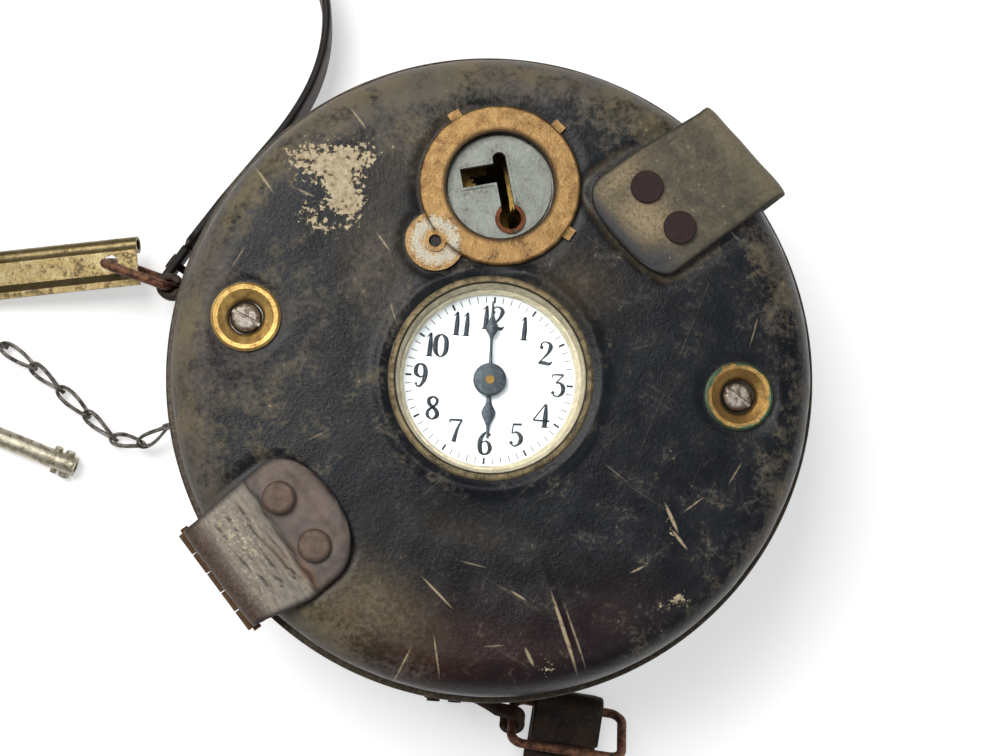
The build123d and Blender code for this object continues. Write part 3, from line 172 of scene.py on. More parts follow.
def route_line(name, points):
    """The points of a smooth line that has the route's points as its control points, in millimetres."""
    line = bpy.data.curves.new(name, "CURVE")
    line.dimensions = "3D"
    line.resolution_u = 12
    spline = line.splines.new("NURBS")
    spline.points.add(len(points) - 1)
    spline.points.foreach_set("co", np.column_stack([points * mm, np.ones(len(points))]).ravel())
    spline.order_u = 3
    spline.use_endpoint_u = True
    holder = bpy.data.objects.new(name, line)
    drawn = bpy.data.meshes.new_from_object(holder)
    found = np.zeros(3 * len(drawn.vertices))
    drawn.vertices.foreach_get("co", found)
    bpy.data.objects.remove(holder)
    bpy.data.meshes.remove(drawn)
    return found.reshape(-1, 3) / mm


def directions(points):
    """The direction of a line at each of its points: the difference of its neighbours."""
    return unit(np.gradient(points, axis=0))


def rounded(turn, wide, high, wide_power, high_power):
    """A superellipse: wide times cos to a power by high times sin to a power, with their signs kept."""
    return (wide * np.sign(np.cos(turn)) * np.abs(np.cos(turn)) ** wide_power,
            high * np.sign(np.sin(turn)) * np.abs(np.sin(turn)) ** high_power)


def strap_outline(width, thickness, crease=0.12, count=72):
    """The outline across a strap: a superellipse with a shallow line pressed along each edge of both
    faces. Returns across, out and the share of edge."""
    across, out = rounded((np.arange(count) + 0.5) / count * 2 * math.pi, width / 2, thickness / 2, 0.25, 0.6)
    line = np.exp(-((np.abs(across) - (width / 2 - 1.5)) / 0.3) ** 2)
    edge = np.clip((np.abs(across) - (width / 2 - 0.7)) / 0.6, 0, 1)
    return across, out * (1 - crease * 2 / thickness * line), edge


def skin(rings, attributes=None, closed=True):
    """A mesh from rings of points, in millimetres: each ring joins the next, and its last point joins its
    first. With closed set the first and last rings are filled, and as "loop" the last ring joins the
    first. Attributes are one number for each point."""
    count, around = rings.shape[:2]
    index = np.arange(count * around).reshape(count, around)
    after = np.roll(index, -1, axis=1)
    steps = count if closed == "loop" else count - 1
    quads = np.stack([index, after, np.roll(after, -1, axis=0), np.roll(index, -1, axis=0)], axis=-1)[:steps]
    faces = quads.reshape(-1, 4).tolist()
    if closed is True:
        faces += [index[0][::-1].tolist(), index[-1].tolist()]
    mesh = bpy.data.meshes.new("skin")
    mesh.from_pydata((rings.reshape(-1, 3) * mm).tolist(), [], faces)
    mesh.polygons.foreach_set("use_smooth", np.ones(len(mesh.polygons), bool))
    for key, values in (attributes or {}).items():
        layer = mesh.attributes.new(key, "FLOAT", "POINT")
        layer.data.foreach_set("value", np.broadcast_to(values, (count, around)).astype(np.float32).ravel())
    return mesh


def carried(points, across, width, thickness, ends=0.8):
    """A strap's outline carried along points, in millimetres. Out is across crossed with the direction,
    and two drawn-in rings round each end off. Returns the rings and the share of edge."""
    along = directions(points)
    across = unit(across - along * np.sum(across * along, axis=1, keepdims=True))
    out = np.cross(across, along)
    x, y, edge = strap_outline(width, thickness)
    rings = points[:, None] + across[:, None] * x[None, :, None] + out[:, None] * y[None, :, None]
    if ends:
        drawn, moved = np.array([0.80, 0.95])[:, None, None], np.array([-0.45, -0.25])[:, None, None] * ends
        first = points[0] + (rings[0] - points[0]) * drawn + along[0] * moved
        last = points[-1] + (rings[-1] - points[-1]) * drawn[::-1] - along[-1] * moved[::-1]
        rings = np.concatenate([first, rings, last])
    return rings, np.tile(edge, (len(rings), 1))


def outward(mesh):
    """Turns a closed mesh's faces outward."""
    work = bmesh.new()
    work.from_mesh(mesh)
    bmesh.ops.recalc_face_normals(work, faces=work.faces)
    work.to_mesh(mesh)
    work.free()


def place(name, mesh, material, body, slot, *replaced):
    """Puts a new piece in the scene: it takes its material, rides on its body and stands for its nodes."""
    outward(mesh)
    mesh.name = name
    mesh.materials.append(material)
    made = bpy.data.objects.new(name, mesh)
    bpy.context.scene.collection.objects.link(made)
    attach(made, body)
    if replaced:
        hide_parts(*replaced)
    return made


class Finish:
    """A material that is built up from one Principled shader. The methods add nodes and return what the
    last one gives out. Lengths inside it are in millimetres, and colours are screen values."""

    def __init__(self, name, **constant):
        self.material = bpy.data.materials.new(name)
        self.material.use_nodes = True
        self.tree = self.material.node_tree
        self.shader = self.tree.nodes["Principled BSDF"]
        for key, value in constant.items():
            self.shader.inputs[key.replace("_", " ")].default_value = value
        texture = self.tree.nodes.new("ShaderNodeTexCoord")
        self.spot = self.mapped(texture.outputs["Object"], scale=(1000.0, 1000.0, 1000.0))

    def mapped(self, vector, spot=(0, 0, 0), turn=0.0, scale=(1, 1, 1), kind="POINT"):
        values = {"Vector": vector, "Location": spot, "Rotation": (0, 0, turn), "Scale": scale}
        return node(self.tree, "ShaderNodeMapping", values, vector_type=kind).outputs[0]

    def noise(self, size, detail=4.0, rough=0.55, bend=0.0, spot=None):
        """Soft noise whose blotches are about size millimetres."""
        values = {"Vector": spot or self.spot, "Scale": 1.0 / size, "Detail": detail, "Roughness": rough,
                  "Distortion": bend}
        return node(self.tree, "ShaderNodeTexNoise", values).outputs["Fac"]

    def cells(self, size):
        """The distance to the nearest of scattered points about size millimetres apart."""
        values = {"Vector": self.spot, "Scale": 1.0 / size}
        return node(self.tree, "ShaderNodeTexVoronoi", values, feature="F1").outputs["Distance"]

    def between(self, value, low, high, first=0.0, last=1.0):
        """A value brought from low..high to first..last, and held there."""
        values = {"Value": value, "From Min": low, "From Max": high, "To Min": first, "To Max": last}
        return node(self.tree, "ShaderNodeMapRange", values).outputs[0]

    def sum(self, kind, one, two=0.0, three=None):
        return node(self.tree, "ShaderNodeMath", {0: one, 1: two, 2: three}, operation=kind).outputs[0]

    def times(self, one, two):
        return self.sum("MULTIPLY", one, two)

    def plus(self, one, two):
        return self.sum("ADD", one, two)

    def blend(self, share, one, two):
        """One colour laid over another by a share."""
        one, two = [paint(*tone) if isinstance(tone, tuple) else tone for tone in (one, two)]
        return node(self.tree, "ShaderNodeMix", {0: share, 6: one, 7: two}, data_type="RGBA").outputs[2]

    def mottled(self, value, low, high, one, two):
        """Two colours in blotches, mixed as the value goes from low to high."""
        return self.blend(self.between(value, low, high), one, two)

    def given(self, name):
        """A number that the mesh holds at each point."""
        return node(self.tree, "ShaderNodeAttribute", {}, attribute_name=name).outputs["Fac"]

    def length(self, vector):
        return node(self.tree, "ShaderNodeVectorMath", {0: vector}, operation="LENGTH").outputs["Value"]

    def reach(self, x, y):
        """The distance from an upright line."""
        return self.length(self.mapped(self.spot, spot=(-x, -y, 0), scale=(1, 1, 0)))

    def raised(self, height, depth):
        """Bumps a height, 0 to 1, by depth millimetres."""
        return node(self.tree, "ShaderNodeBump", {"Height": height, "Distance": depth * mm}).outputs[0]

    def done(self, colour, rough, bump):
        for key, value in (("Base Color", colour), ("Roughness", rough), ("Normal", bump)):
            if isinstance(value, bpy.types.NodeSocket):
                self.tree.links.new(value, self.shader.inputs[key])
            elif value is not None:
                self.shader.inputs[key].default_value = value
        return self.material


hide = Finish("waxed_strap_leather", Specular_IOR_Level=0.28)
grain = hide.noise(0.9, detail=6.0)
stain = hide.noise(9.0, detail=3.0, bend=0.6)
tone = hide.mottled(stain, 0.38, 0.62, (26, 21, 18), (60, 42, 26))
tone = hide.blend(hide.between(grain, 0.55, 0.75, 0, 0.5), tone, (112, 84, 58))
tone = hide.blend(hide.given("edge"), tone, (24, 21, 20))
strap_leather = hide.done(tone, hide.between(stain, 0.3, 0.7, 0.42, 0.6), hide.raised(grain, 0.12))

strap_line = route_line("strap_line", strap_route)
strap_along = directions(strap_line)
steep = unit(np.array([0.0, 0.0, 1.0]) - strap_along * strap_along[:, 2:])
strap_turn = np.radians(np.interp(strap_line[:, 2], [1.93, 6.3, 9.25, 9.9], [90.0, 60.0, 30.0, 0.0]))[:, None]
strap_across = steep * np.cos(strap_turn) + np.cross(strap_along, steep) * np.sin(strap_turn)
near_ring = np.clip(1 - np.linalg.norm(strap_line - strap_line[0], axis=1) / ring_reach, 0, 1)[:, None]
strap_across = unit(strap_across * (1 - near_ring) + left_up * near_ring)
strap_rings, strap_edge = carried(strap_line, strap_across, strap_width, strap_thickness, ends=0.0)
strap = place("shoulder_strap_leather", skin(strap_rings, {"edge": strap_edge}), strap_leather, "root",
              "strap_leather", "shoulder_strap")


# Leather body: the drum that the lid closes on, wet-moulded from 3 mm hide round the metal case pan and
# dyed black. Its back edge is rounded, its mouth is cut square, and two holes go through it: one in the
# back for the winding key and one in the side for the lock.
body_radius = 78.0
body_height = 57.0
leather = 3.0
back_round = 4.0
mouth_round = 0.6
pole = 0.4
body_around = 400
winding_spot = (-16.487, -23.917)
upper_angle = math.radians(45.5)
lock_out = np.array([math.cos(upper_angle), math.sin(upper_angle), 0.0])
lock_rise = np.array([0.0, 0.0, 46.0])


def arc(centre, radius, first, last, count):
    """Points of a circle's arc in a plane, from one angle to another."""
    turn = np.radians(np.linspace(first, last, count))
    return np.column_stack([centre[0] + radius * np.cos(turn), centre[1] + radius * np.sin(turn)])


def run(first, last, count):
    """Points along a straight line, without its end."""
    share = np.arange(count)[:, None] / count
    return np.array(first) * (1 - share) + np.array(last) * share


def turned(profile, around):
    """Rings of points: a profile of reach and height carried round the upright axis."""
    turn = np.arange(around) / around * 2 * math.pi
    rings = np.empty((len(profile), around, 3))
    rings[:, :, 0] = profile[:, :1] * np.cos(turn)
    rings[:, :, 1] = profile[:, :1] * np.sin(turn)
    rings[:, :, 2] = profile[:, 1:]
    return rings


def rod(start, end, radius, sides=64):
    """A plain cylinder between two points, for drilling."""
    along = unit(np.array(end, float) - np.array(start, float))
    side = unit(np.cross(along, [0.31, 0.52, 0.79]))
    turn = np.arange(sides) / sides * 2 * math.pi
    circle = np.cos(turn)[:, None] * side + np.sin(turn)[:, None] * np.cross(along, side)
    mesh = skin(np.array([start, end])[:, None] + radius * circle[None])
    outward(mesh)
    return mesh


def drilled(mesh, holes):
    """A mesh with round holes cut through it: each hole is its start, its end and its radius."""
    work = bpy.data.objects.new("work", mesh)
    cutters = [bpy.data.objects.new("cutter", rod(*hole)) for hole in holes]
    for thing in (work, *cutters):
        bpy.context.scene.collection.objects.link(thing)
    for cutter in cutters:
        cut = work.modifiers.new("cut", "BOOLEAN")
        cut.operation = "DIFFERENCE"
        cut.solver = "EXACT"
        cut.object = cutter
    made = bpy.data.meshes.new_from_object(work.evaluated_get(bpy.context.evaluated_depsgraph_get()))
    for spare in (work, *cutters):
        bpy.data.objects.remove(spare)
    return made


def waves(x, y, size, seed, count=14):
    """Smooth uneven height, about -1 to 1: the sum of sine waves of about one size in seeded random
    directions."""
    draw = np.random.default_rng(seed)
    heading, shift = draw.uniform(0, 2 * math.pi, (2, count))
    stretch = draw.uniform(0.6, 1.7, count)
    total = 0.0
    for angle, start, scale in zip(heading, shift, stretch):
        along = x * math.cos(angle) + y * math.sin(angle)
        total = total + np.sin(along * 2 * math.pi / (size * scale) + start)
    return total / math.sqrt(2 * count)


def near(value, centre, spread):
    """A bell curve: 1 at the centre and near 0 beyond twice the spread."""
    return np.exp(-((value - centre) / spread) ** 2)


def ramp(value, low, width):
    """0 up to low, then rising to 1 over the width."""
    return np.clip((value - low) / width, 0, 1)


wall = body_radius - leather
mouth = body_height - mouth_round
body_profile = np.concatenate([
    [(pole, 0.0)], run((3.0, 0.0), (body_radius - back_round, 0.0), 34),
    arc((body_radius - back_round, back_round), back_round, -90, 0, 9)[:-1],
    run((body_radius, back_round), (body_radius, mouth), 52),
    arc((body_radius - mouth_round, mouth), mouth_round, 0, 90, 5),
    arc((wall + mouth_round, mouth), mouth_round, 90, 180, 5)[:-1],
    run((wall, mouth), (wall, leather), 10), run((wall, leather), (3.0, leather), 8), [(pole, leather)]])
body_rings = turned(body_profile, body_around)
body_turn = np.arange(body_around) / body_around * 2 * math.pi
body_reach, body_rise = body_profile[:, :1], body_profile[:, 1:] + 0 * body_turn
body_outer = ramp(body_reach, body_radius - 1.2, 1.0) * np.clip((body_height - 0.5 - body_rise) / 2, 0, 1)
body_dent = waves(body_turn * body_radius * 0.999, body_rise * 1.4, 26.0, 3)
body_seam = np.minimum(body_turn, 2 * math.pi - body_turn) * body_radius
body_shift = 0.16 * (body_dent - np.max(body_dent)) * ramp(body_seam, 0, 8) * body_outer
body_rings[:, :, :2] *= (1 + body_shift / np.maximum(body_reach, 1.0))[:, :, None]
body_mesh = skin(body_rings, {
    "cut": 0.25 * near(body_rise, body_height, 1.1) * (body_reach > wall - 0.1),
    "wear_and_sheen": 0.55 * near(body_rise, 3.5, 4.5) + 0.12 * near(body_rise, body_height, 5.0),
    "tan": 0.06 * near(body_rise, body_height, 9.0), "flake": 0.0, "pressed_shade": 0.0})
body_mesh = drilled(body_mesh, [((*winding_spot, -3.0), (*winding_spot, 6.0), 5.0),
                                (lock_out * 70 + lock_rise, lock_out * 84 + lock_rise, 5.65)])


# Lid leather: one piece of 3 mm hide pulled over the lid's metal liner, its edge rounded. It is dyed black
# and worn through to taupe along the rim, with scuffs, scratches, a patch where the finish has flaked
# off, and a soft roll where the bezel presses it. Its left side is also painted lighter as a sheen, and it is
# painted darker round the ring, the washers and the tab edges as shade. The window, the keyhole's opening
# and the screw holes are cut through it.
lid_radius = 76.5
lid_low = 57.4
lid_top = 70.0
lid_round = 9.5
inside_top = 67.0
inside_round = 4.0
lid_around = 480
lid_steps = 62
side_outer_rings = 27
window_radius = 23.5
dial_spot = (-1.0, -1.8)
key_spot = (-2.0, 43.9)
lobe_spot = (-16.4, 29.4)
screw_spots = [(-59.13, 8.2), (57.77, -1.71)]
lower_angle = math.radians(221.0)
upper_tab_outline = [(84.0, 15.0), (48.5, 19.5), (44.4, 18.3), (43.2, 14.0), (42.6, 4.5), (43.4, -4.5),
                     (45.0, -9.6), (48.5, -11.2), (84.0, -15.0)]
lower_tab_outline = [(84.0, 15.3), (56.5, 15.3), (52.6, 13.2), (50.8, 8.0), (50.5, 0.0), (50.8, -8.0),
                     (52.6, -13.2), (56.5, -15.3), (84.0, -15.3)]
flake_big = [(-52.1, 48.1), (-48.6, 50.4), (-43.1, 49.8), (-40.4, 51.4), (-34.6, 52.0), (-33.4, 47.5),
             (-34.6, 43.0), (-33.9, 38.0), (-35.6, 32.3), (-37.6, 33.0), (-38.9, 35.4), (-41.5, 36.2),
             (-43.7, 37.7), (-46.5, 41.0), (-48.8, 44.6)]
flake_small = [(-47.8, 35.4), (-44.0, 33.6), (-37.8, 30.6), (-38.8, 29.4), (-44.0, 30.4), (-47.6, 31.6),
               (-49.4, 33.6)]


def seen_from(angle, x, y):
    """Places measured outward along an angle, and across it."""
    return x * math.cos(angle) + y * math.sin(angle), y * math.cos(angle) - x * math.sin(angle)


def inside(x, y, corners, soft):
    """How far places lie inside a polygon: 0.5 on its edge, and 1 or 0 from soft millimetres away. The
    distance is the least one to any side, and its sign comes from how often a ray crosses the sides."""
    least = np.full(np.shape(x), 1e9)
    odd = np.zeros(np.shape(x), bool)
    for (ax, ay), (bx, by) in zip(corners, corners[1:] + corners[:1]):
        dx, dy = bx - ax, by - ay
        share = np.clip(((x - ax) * dx + (y - ay) * dy) / (dx * dx + dy * dy), 0, 1)
        least = np.minimum(least, np.hypot(x - ax - share * dx, y - ay - share * dy))
        crossed = (ay > y) != (by > y)
        odd ^= crossed & (x < ax + (y - ay) * dx / (dy if dy else 1e-9))
    return np.clip(0.5 + np.where(odd, least, -least) / (2 * soft), 0, 1)


def patches(x, y, *rows):
    """Soft oval patches added up. Each is its strength, its spot, its two half sizes and its angle: a bell
    curve of the distance from its middle, in units of the half sizes."""
    total = 0.0
    for strength, right, up, along, across, angle in rows:
        u, v = seen_from(math.radians(angle), x - right, y - up)
        total = total + strength * np.exp(-(u / along) ** 2 - (v / across) ** 2)
    return total


def outer_side(angle, middle, spread):
    """A bell curve round the rim, about an angle in degrees."""
    return near(angle % 360, middle, spread)


flat_reach = lid_radius - lid_round
lid_share = np.linspace(0, 1, lid_steps)[:, None]
lid_turn = np.arange(lid_around) / lid_around * 2 * math.pi
top_width = window_radius * (1 - lid_share) + flat_reach * lid_share
top_rings = np.empty((lid_steps, lid_around, 3))
top_rings[:, :, 0] = dial_spot[0] * (1 - lid_share) + top_width * np.cos(lid_turn)
top_rings[:, :, 1] = dial_spot[1] * (1 - lid_share) + top_width * np.sin(lid_turn)
top_rings[:, :, 2] = lid_top
under_rings = top_rings[::-6].copy()
under_rings[:, :, 2] = inside_top
lid_wall = lid_radius - leather
side_profile = np.concatenate([
    arc((flat_reach, lid_top - lid_round), lid_round, 90, 0, 19)[1:],
    run((lid_radius, lid_top - lid_round - 0.4), (lid_radius, lid_low + 0.7), 6),
    arc((lid_radius - 0.7, lid_low + 0.7), 0.7, 0, -90, 5),
    arc((lid_wall + 0.5, lid_low + 0.5), 0.5, -90, -180, 4),
    run((lid_wall, lid_low + 1.2), (lid_wall, inside_top - inside_round), 4),
    arc((lid_wall - inside_round, inside_top - inside_round), inside_round, 0, 90, 6)])
lid_rings = np.concatenate([top_rings, turned(side_profile, lid_around), under_rings])
lid_x, lid_y, lid_z = np.moveaxis(lid_rings.copy(), 2, 0)
lid_outer = np.zeros((len(lid_rings), 1))
lid_outer[:lid_steps + side_outer_rings] = 1.0
lid_reach = np.hypot(lid_x, lid_y)


def away(spot, radius):
    """How far the lid's places are from a circle on it."""
    return np.hypot(lid_x - spot[0], lid_y - spot[1]) - radius


from_dial = away(dial_spot, 0.0)
from_ring = np.minimum(away(key_spot, 19.2), away(lobe_spot, 7.0))
from_washer = np.minimum(*[away(spot, 8.15) for spot in screw_spots])
upper_out, upper_across = seen_from(upper_angle, lid_x, lid_y)
on_upper = inside(upper_out, upper_across, upper_tab_outline, 4.0)
on_lower = inside(*seen_from(lower_angle, lid_x, lid_y), lower_tab_outline, 4.0)
free = ramp(from_ring, 0.5, 4) * ramp(from_washer, 0.5, 3) * ramp(from_dial, window_radius + 3.5, 5)
free = free * (1 - ramp(on_upper, 0.02, 0.4)) * (1 - ramp(on_lower, 0.02, 0.4))
lid_wave = (0.24 * waves(lid_x, lid_y, 38.0, 11) + 0.06 * waves(lid_x, lid_y, 13.0, 12)) * free
lid_roll = 0.75 * near(from_dial, 26.3, 1.45) * ramp(from_ring, -1.5, 3)
lid_press = 0.45 * (near(from_ring, 0.4, 1.3) + near(from_washer, 0.3, 1.2))
lid_press += 0.55 * (near(on_upper, 0.42, 0.16) + near(on_lower, 0.42, 0.16)) * (1 - 0.6 * ramp(lid_reach, 70, 5))
tear = patches(lid_x, lid_y, (0.35, 20.6, -60.5, 12.0, 1.0, -67.4), (-0.4, 22.0, -59.9, 11.0, 0.8, -67.4))
lid_lift = (lid_wave + lid_roll - lid_press + tear) * lid_outer
slope = ramp(lid_reach, flat_reach, lid_round)
side_dent = (waves(lid_x, lid_y, 17.0, 21) - 1.8) * 0.10 * slope * lid_outer
lid_rings[:, :, 2] += lid_lift * np.maximum((lid_z - lid_top + lid_round) / lid_round, 0) * (1 - 0.5 * slope)
lid_rings[:, :, :2] *= (1 + side_dent / np.maximum(lid_reach, 1))[:, :, None]

lid_angle = np.degrees(np.arctan2(lid_y, lid_x))
top_side = near(lid_angle, 100, 45)
left_side = outer_side(lid_angle, 185, 42)
low_left = outer_side(lid_angle, 238, 26)
right_side = outer_side(lid_angle, 345, 45) + outer_side(lid_angle, -15, 45)
# Real taupe wear round the rim and in scuffs; the stronger wear on the left rim, round the left half of the window and
# in the two left patches at (-48, 12) and (-58, -14) also paints the lid's left side lighter, as a painted sheen of the
# lamp at the upper left.
wear_and_sheen = 0.16 + 0.95 * top_side + 0.75 * left_side + 0.55 * low_left + 0.30 * right_side
wear_and_sheen = wear_and_sheen * ramp(lid_reach, 64.5, 8.0) * ramp(lid_z, lid_low - 2.0, 5.0)
wear_and_sheen += 0.22 * near(from_dial, 27.5, 2.5) * (lid_x < 0) + patches(
    lid_x, lid_y, (0.50, -18, 62, 30, 9, 12), (0.32, -38, 57, 18, 12, 35), (0.40, 63, 27, 7, 14, 8),
    (0.30, 20, 62, 20, 8, -14), (0.22, 66, -22, 5, 22, 18), (-0.30, 16, -56, 38, 22, 15),
    (0.30, -48, 12, 24, 22, 0), (0.34, -58, -14, 16, 30, 0))
tan = 0.5 * near(on_upper, 0.40, 0.10) * (upper_out < 60) + patches(
    lid_x, lid_y, (0.62, -24, -56, 15, 8, -30), (0.55, -35, -62, 9, 7, -35), (0.30, -19, 52, 14, 8, 20),
    (0.12, -5, -38, 16, 4, -10), (0.30, -30, 25, 8, 12, 0), (0.25, 40, 62, 14, 6, -38), (0.30, 18, 22, 9, 8, 0))
maroon = patches(lid_x, lid_y, (1.0, -6, -66, 28, 11, 5), (0.55, -66, 4, 7, 18, 0), (0.45, 30, -55, 16, 9, 25),
                 (0.4, -50, -40, 10, 14, 0))
flake = np.maximum(inside(lid_x, lid_y, flake_big, 5.5), 0.92 * inside(lid_x, lid_y, flake_small, 3.0))
for bare_spot in ((0.62, 43.9, -34.7, 4.0, 1.6, -65), (0.56, 46.8, -50.4, 3.5, 2.4, 30),
                  (0.50, 17.0, -69.5, 3.5, 3.0, 30)):
    flake = np.maximum(flake, patches(lid_x, lid_y, bare_spot))
lid_cut = near(lid_z, lid_low + 0.2, 0.6) * (lid_reach > lid_radius - 1.6)
lid_cut = lid_cut * (0.25 + 0.75 * np.clip(left_side + low_left + top_side, 0, 1))
# The press numbers darken the leather round the ring, the washers and the tab edges: painted shade where the hardware
# meets the lid.
lid_mesh = skin(lid_rings, {
    "wear_and_sheen": np.clip(wear_and_sheen, 0, 1), "tan": np.clip(tan, 0, 1), "maroon": np.clip(maroon, 0, 1), "flake": flake,
    "pressed_shade": np.clip(lid_press * 1.6, 0, 1), "cut": lid_cut}, closed="loop")
lid_mesh = drilled(lid_mesh, [((*spot, 62.0), (*spot, 75.0), radius)
                              for spot, radius in zip([key_spot, *screw_spots], (14.7, 6.25, 6.25))])


def worn_leather(name, scratches):
    """Black hide that was dyed on the surface only: wear, tan, maroon and flake say how much of the dye is
    gone, and noise breaks their edges up. On the lid the wear numbers also paint its left side lighter, as a
    sheen, and the press numbers paint it darker round the hardware, as shade. Scratches are places, an angle,
    a length, a width and a strength."""
    hide = Finish(name, Specular_IOR_Level=0.22)
    broad = hide.noise(24.0, detail=3.0, bend=0.8)
    cloud = hide.noise(7.0, detail=5.0, rough=0.62, bend=0.4)
    speck = hide.noise(1.3, detail=6.0, rough=0.7)
    grit = hide.noise(0.42, detail=4.0, rough=0.7)
    pores = hide.cells(0.85)
    dye = hide.mottled(broad, 0.38, 0.62, (11, 14, 20), (20, 24, 28))
    dye = hide.blend(hide.between(cloud, 0.45, 0.75, 0, 0.5), dye, (36, 40, 50))
    dye = hide.blend(hide.times(hide.given("maroon"), hide.between(cloud, 0.3, 0.6, 0.45, 1.0)), dye, (48, 22, 22))
    film = hide.times(hide.between(cloud, 0.48, 0.72), hide.between(speck, 0.42, 0.66))
    dye = hide.blend(hide.times(film, 0.22), dye, (92, 87, 76))
    dye = hide.blend(hide.times(hide.given("tan"), hide.between(speck, 0.30, 0.62, 0.25, 1.3)), dye, (116, 101, 76))
    # This carries real wear and also the painted sheen on the lid's left side.
    worn_and_sheen = hide.plus(hide.given("wear_and_sheen"), hide.between(cloud, 0.35, 0.68, -0.45, 0.30))
    worn_and_sheen = hide.plus(worn_and_sheen, hide.between(speck, 0.35, 0.68, -0.35, 0.35))
    taupe = hide.mottled(broad, 0.42, 0.6, (99, 92, 82), (118, 107, 84))
    dye = hide.blend(hide.between(worn_and_sheen, 0.12, 0.95, 0.0, 0.92), dye, taupe)
    bare = hide.plus(hide.given("flake"), hide.between(speck, 0.32, 0.70, -0.42, 0.42))
    bare = hide.between(hide.plus(bare, hide.between(cloud, 0.35, 0.65, -0.22, 0.22)), 0.50, 0.58)
    dye = hide.blend(bare, dye, hide.mottled(speck, 0.4, 0.62, (160, 142, 112), (206, 190, 158)))
    dots = hide.times(hide.between(hide.cells(2.6), 0.0, 0.16, 1.0, 0.0), hide.between(cloud, 0.52, 0.62))
    dye = hide.blend(hide.times(dots, 0.7), dye, (146, 134, 112))
    line = 0.0
    for x, y, angle, length, width, strength in scratches:
        local = hide.mapped(hide.spot, (x, y, 0), math.radians(angle), (length, width, 1e6), kind="TEXTURE")
        line = hide.sum("MAXIMUM", line, hide.between(hide.length(local), 0.55, 1.0, strength, 0.0))
    line = hide.times(line, hide.between(speck, 0.34, 0.5, 0.25, 1.0))
    dye = hide.blend(line, dye, (176, 160, 130))
    fine = 0.0
    for turn, stretch in ((0.5, 46.0), (-0.75, 60.0), (1.9, 52.0)):
        drawn = hide.mapped(hide.mapped(hide.spot, turn=turn), scale=(1.0 / stretch, 1.6, 0.35))
        hair = hide.between(hide.noise(1.0, detail=2.0, rough=0.5, spot=drawn), 0.685, 0.72)
        fine = hide.sum("MAXIMUM", fine, hair)
    fine = hide.times(fine, hide.between(cloud, 0.42, 0.62))
    dye = hide.blend(hide.times(fine, 0.34), dye, (116, 108, 92))
    edge = hide.mottled(speck, 0.4, 0.65, (104, 86, 62), (160, 138, 104))
    dye = hide.blend(hide.times(hide.given("cut"), 0.9), dye, edge)
    # Painted shade: darker leather round the ring, the washers and the tab edges.
    dye = hide.blend(hide.times(hide.given("pressed_shade"), 0.45), dye, (24, 22, 22))
    rough = hide.plus(hide.between(cloud, 0.3, 0.7, 0.26, 0.37), hide.times(hide.between(worn_and_sheen, 0.1, 0.9), 0.22))
    rough = hide.plus(rough, hide.times(bare, 0.2))
    height = hide.sum("MULTIPLY_ADD", speck, 0.55, hide.times(pores, 0.12))
    height = hide.sum("MULTIPLY_ADD", grit, 0.18, height)
    height = hide.sum("MULTIPLY_ADD", bare, -0.55, height)
    return hide.done(dye, rough, hide.raised(height, 0.22))


lid_scratches = [
    (-57.5, 41.0, -52, 4.6, 0.35, 0.8), (-47.5, 38.5, -20, 2.6, 0.3, 0.7), (-36.4, 57.2, -50, 3.4, 0.3, 0.8),
    (-28.5, 28.4, -50, 3.0, 0.3, 0.75), (-9.9, -52.6, -42, 5.6, 0.32, 0.9), (-16.8, -70.0, 68, 5.4, 0.3, 0.85),
    (-9.0, -67.0, -78, 5.8, 0.28, 0.7), (20.2, -59.7, -68, 11.2, 0.55, 0.95), (22.9, -60.6, -67, 8.8, 0.3, 0.6),
    (43.6, -31.5, -62, 4.2, 0.5, 1.0), (45.8, -36.4, -48, 3.2, 0.45, 0.95), (48.6, -28.0, 40, 3.2, 0.25, 0.7),
    (58.0, -20.0, 62, 3.4, 0.22, 0.6), (36.4, -44.0, 30, 2.2, 0.3, 0.8), (9.0, -52.0, -28, 2.4, 0.3, 0.8),
    (4.0, -64.0, 8, 2.6, 0.25, 0.6), (12.5, -66.0, -60, 2.8, 0.5, 0.8), (60.5, 14.0, 78, 4.0, 0.22, 0.5),
    (-25.0, 12.0, -70, 3.6, 0.22, 0.5), (-40.0, -18.0, 30, 3.0, 0.2, 0.45), (-2.0, -45.5, -10, 3.4, 0.22, 0.5),
    (30.0, -22.0, -35, 4.4, 0.2, 0.35), (54.0, 37.0, -42, 3.0, 0.22, 0.5), (-62.0, 22.0, 62, 3.4, 0.22, 0.5)]
place("leather_body_worn", body_mesh, worn_leather("worn_drum_leather", []), "root", "black_leather",
      "leather_body")
place("lid_leather_worn", lid_mesh, worn_leather("worn_black_leather", lid_scratches), "lid",
      "black_leather", "lid_leather")


# Leather tabs: two straps of 2.8 mm hide riveted on the lid and folded down over its edge. The upper right
# one covers the lock and is worn grey-green, the lower left one covers the hinge and is cracked along
# its fold.
tab_thickness = 2.8
tab_low = 70.05
tab_bend = 4.0
flat_steps, bend_steps, drop_steps = 72, 13, 25
upper_start, lower_start = 42.0, 47.6
lower_split_at = 62.9


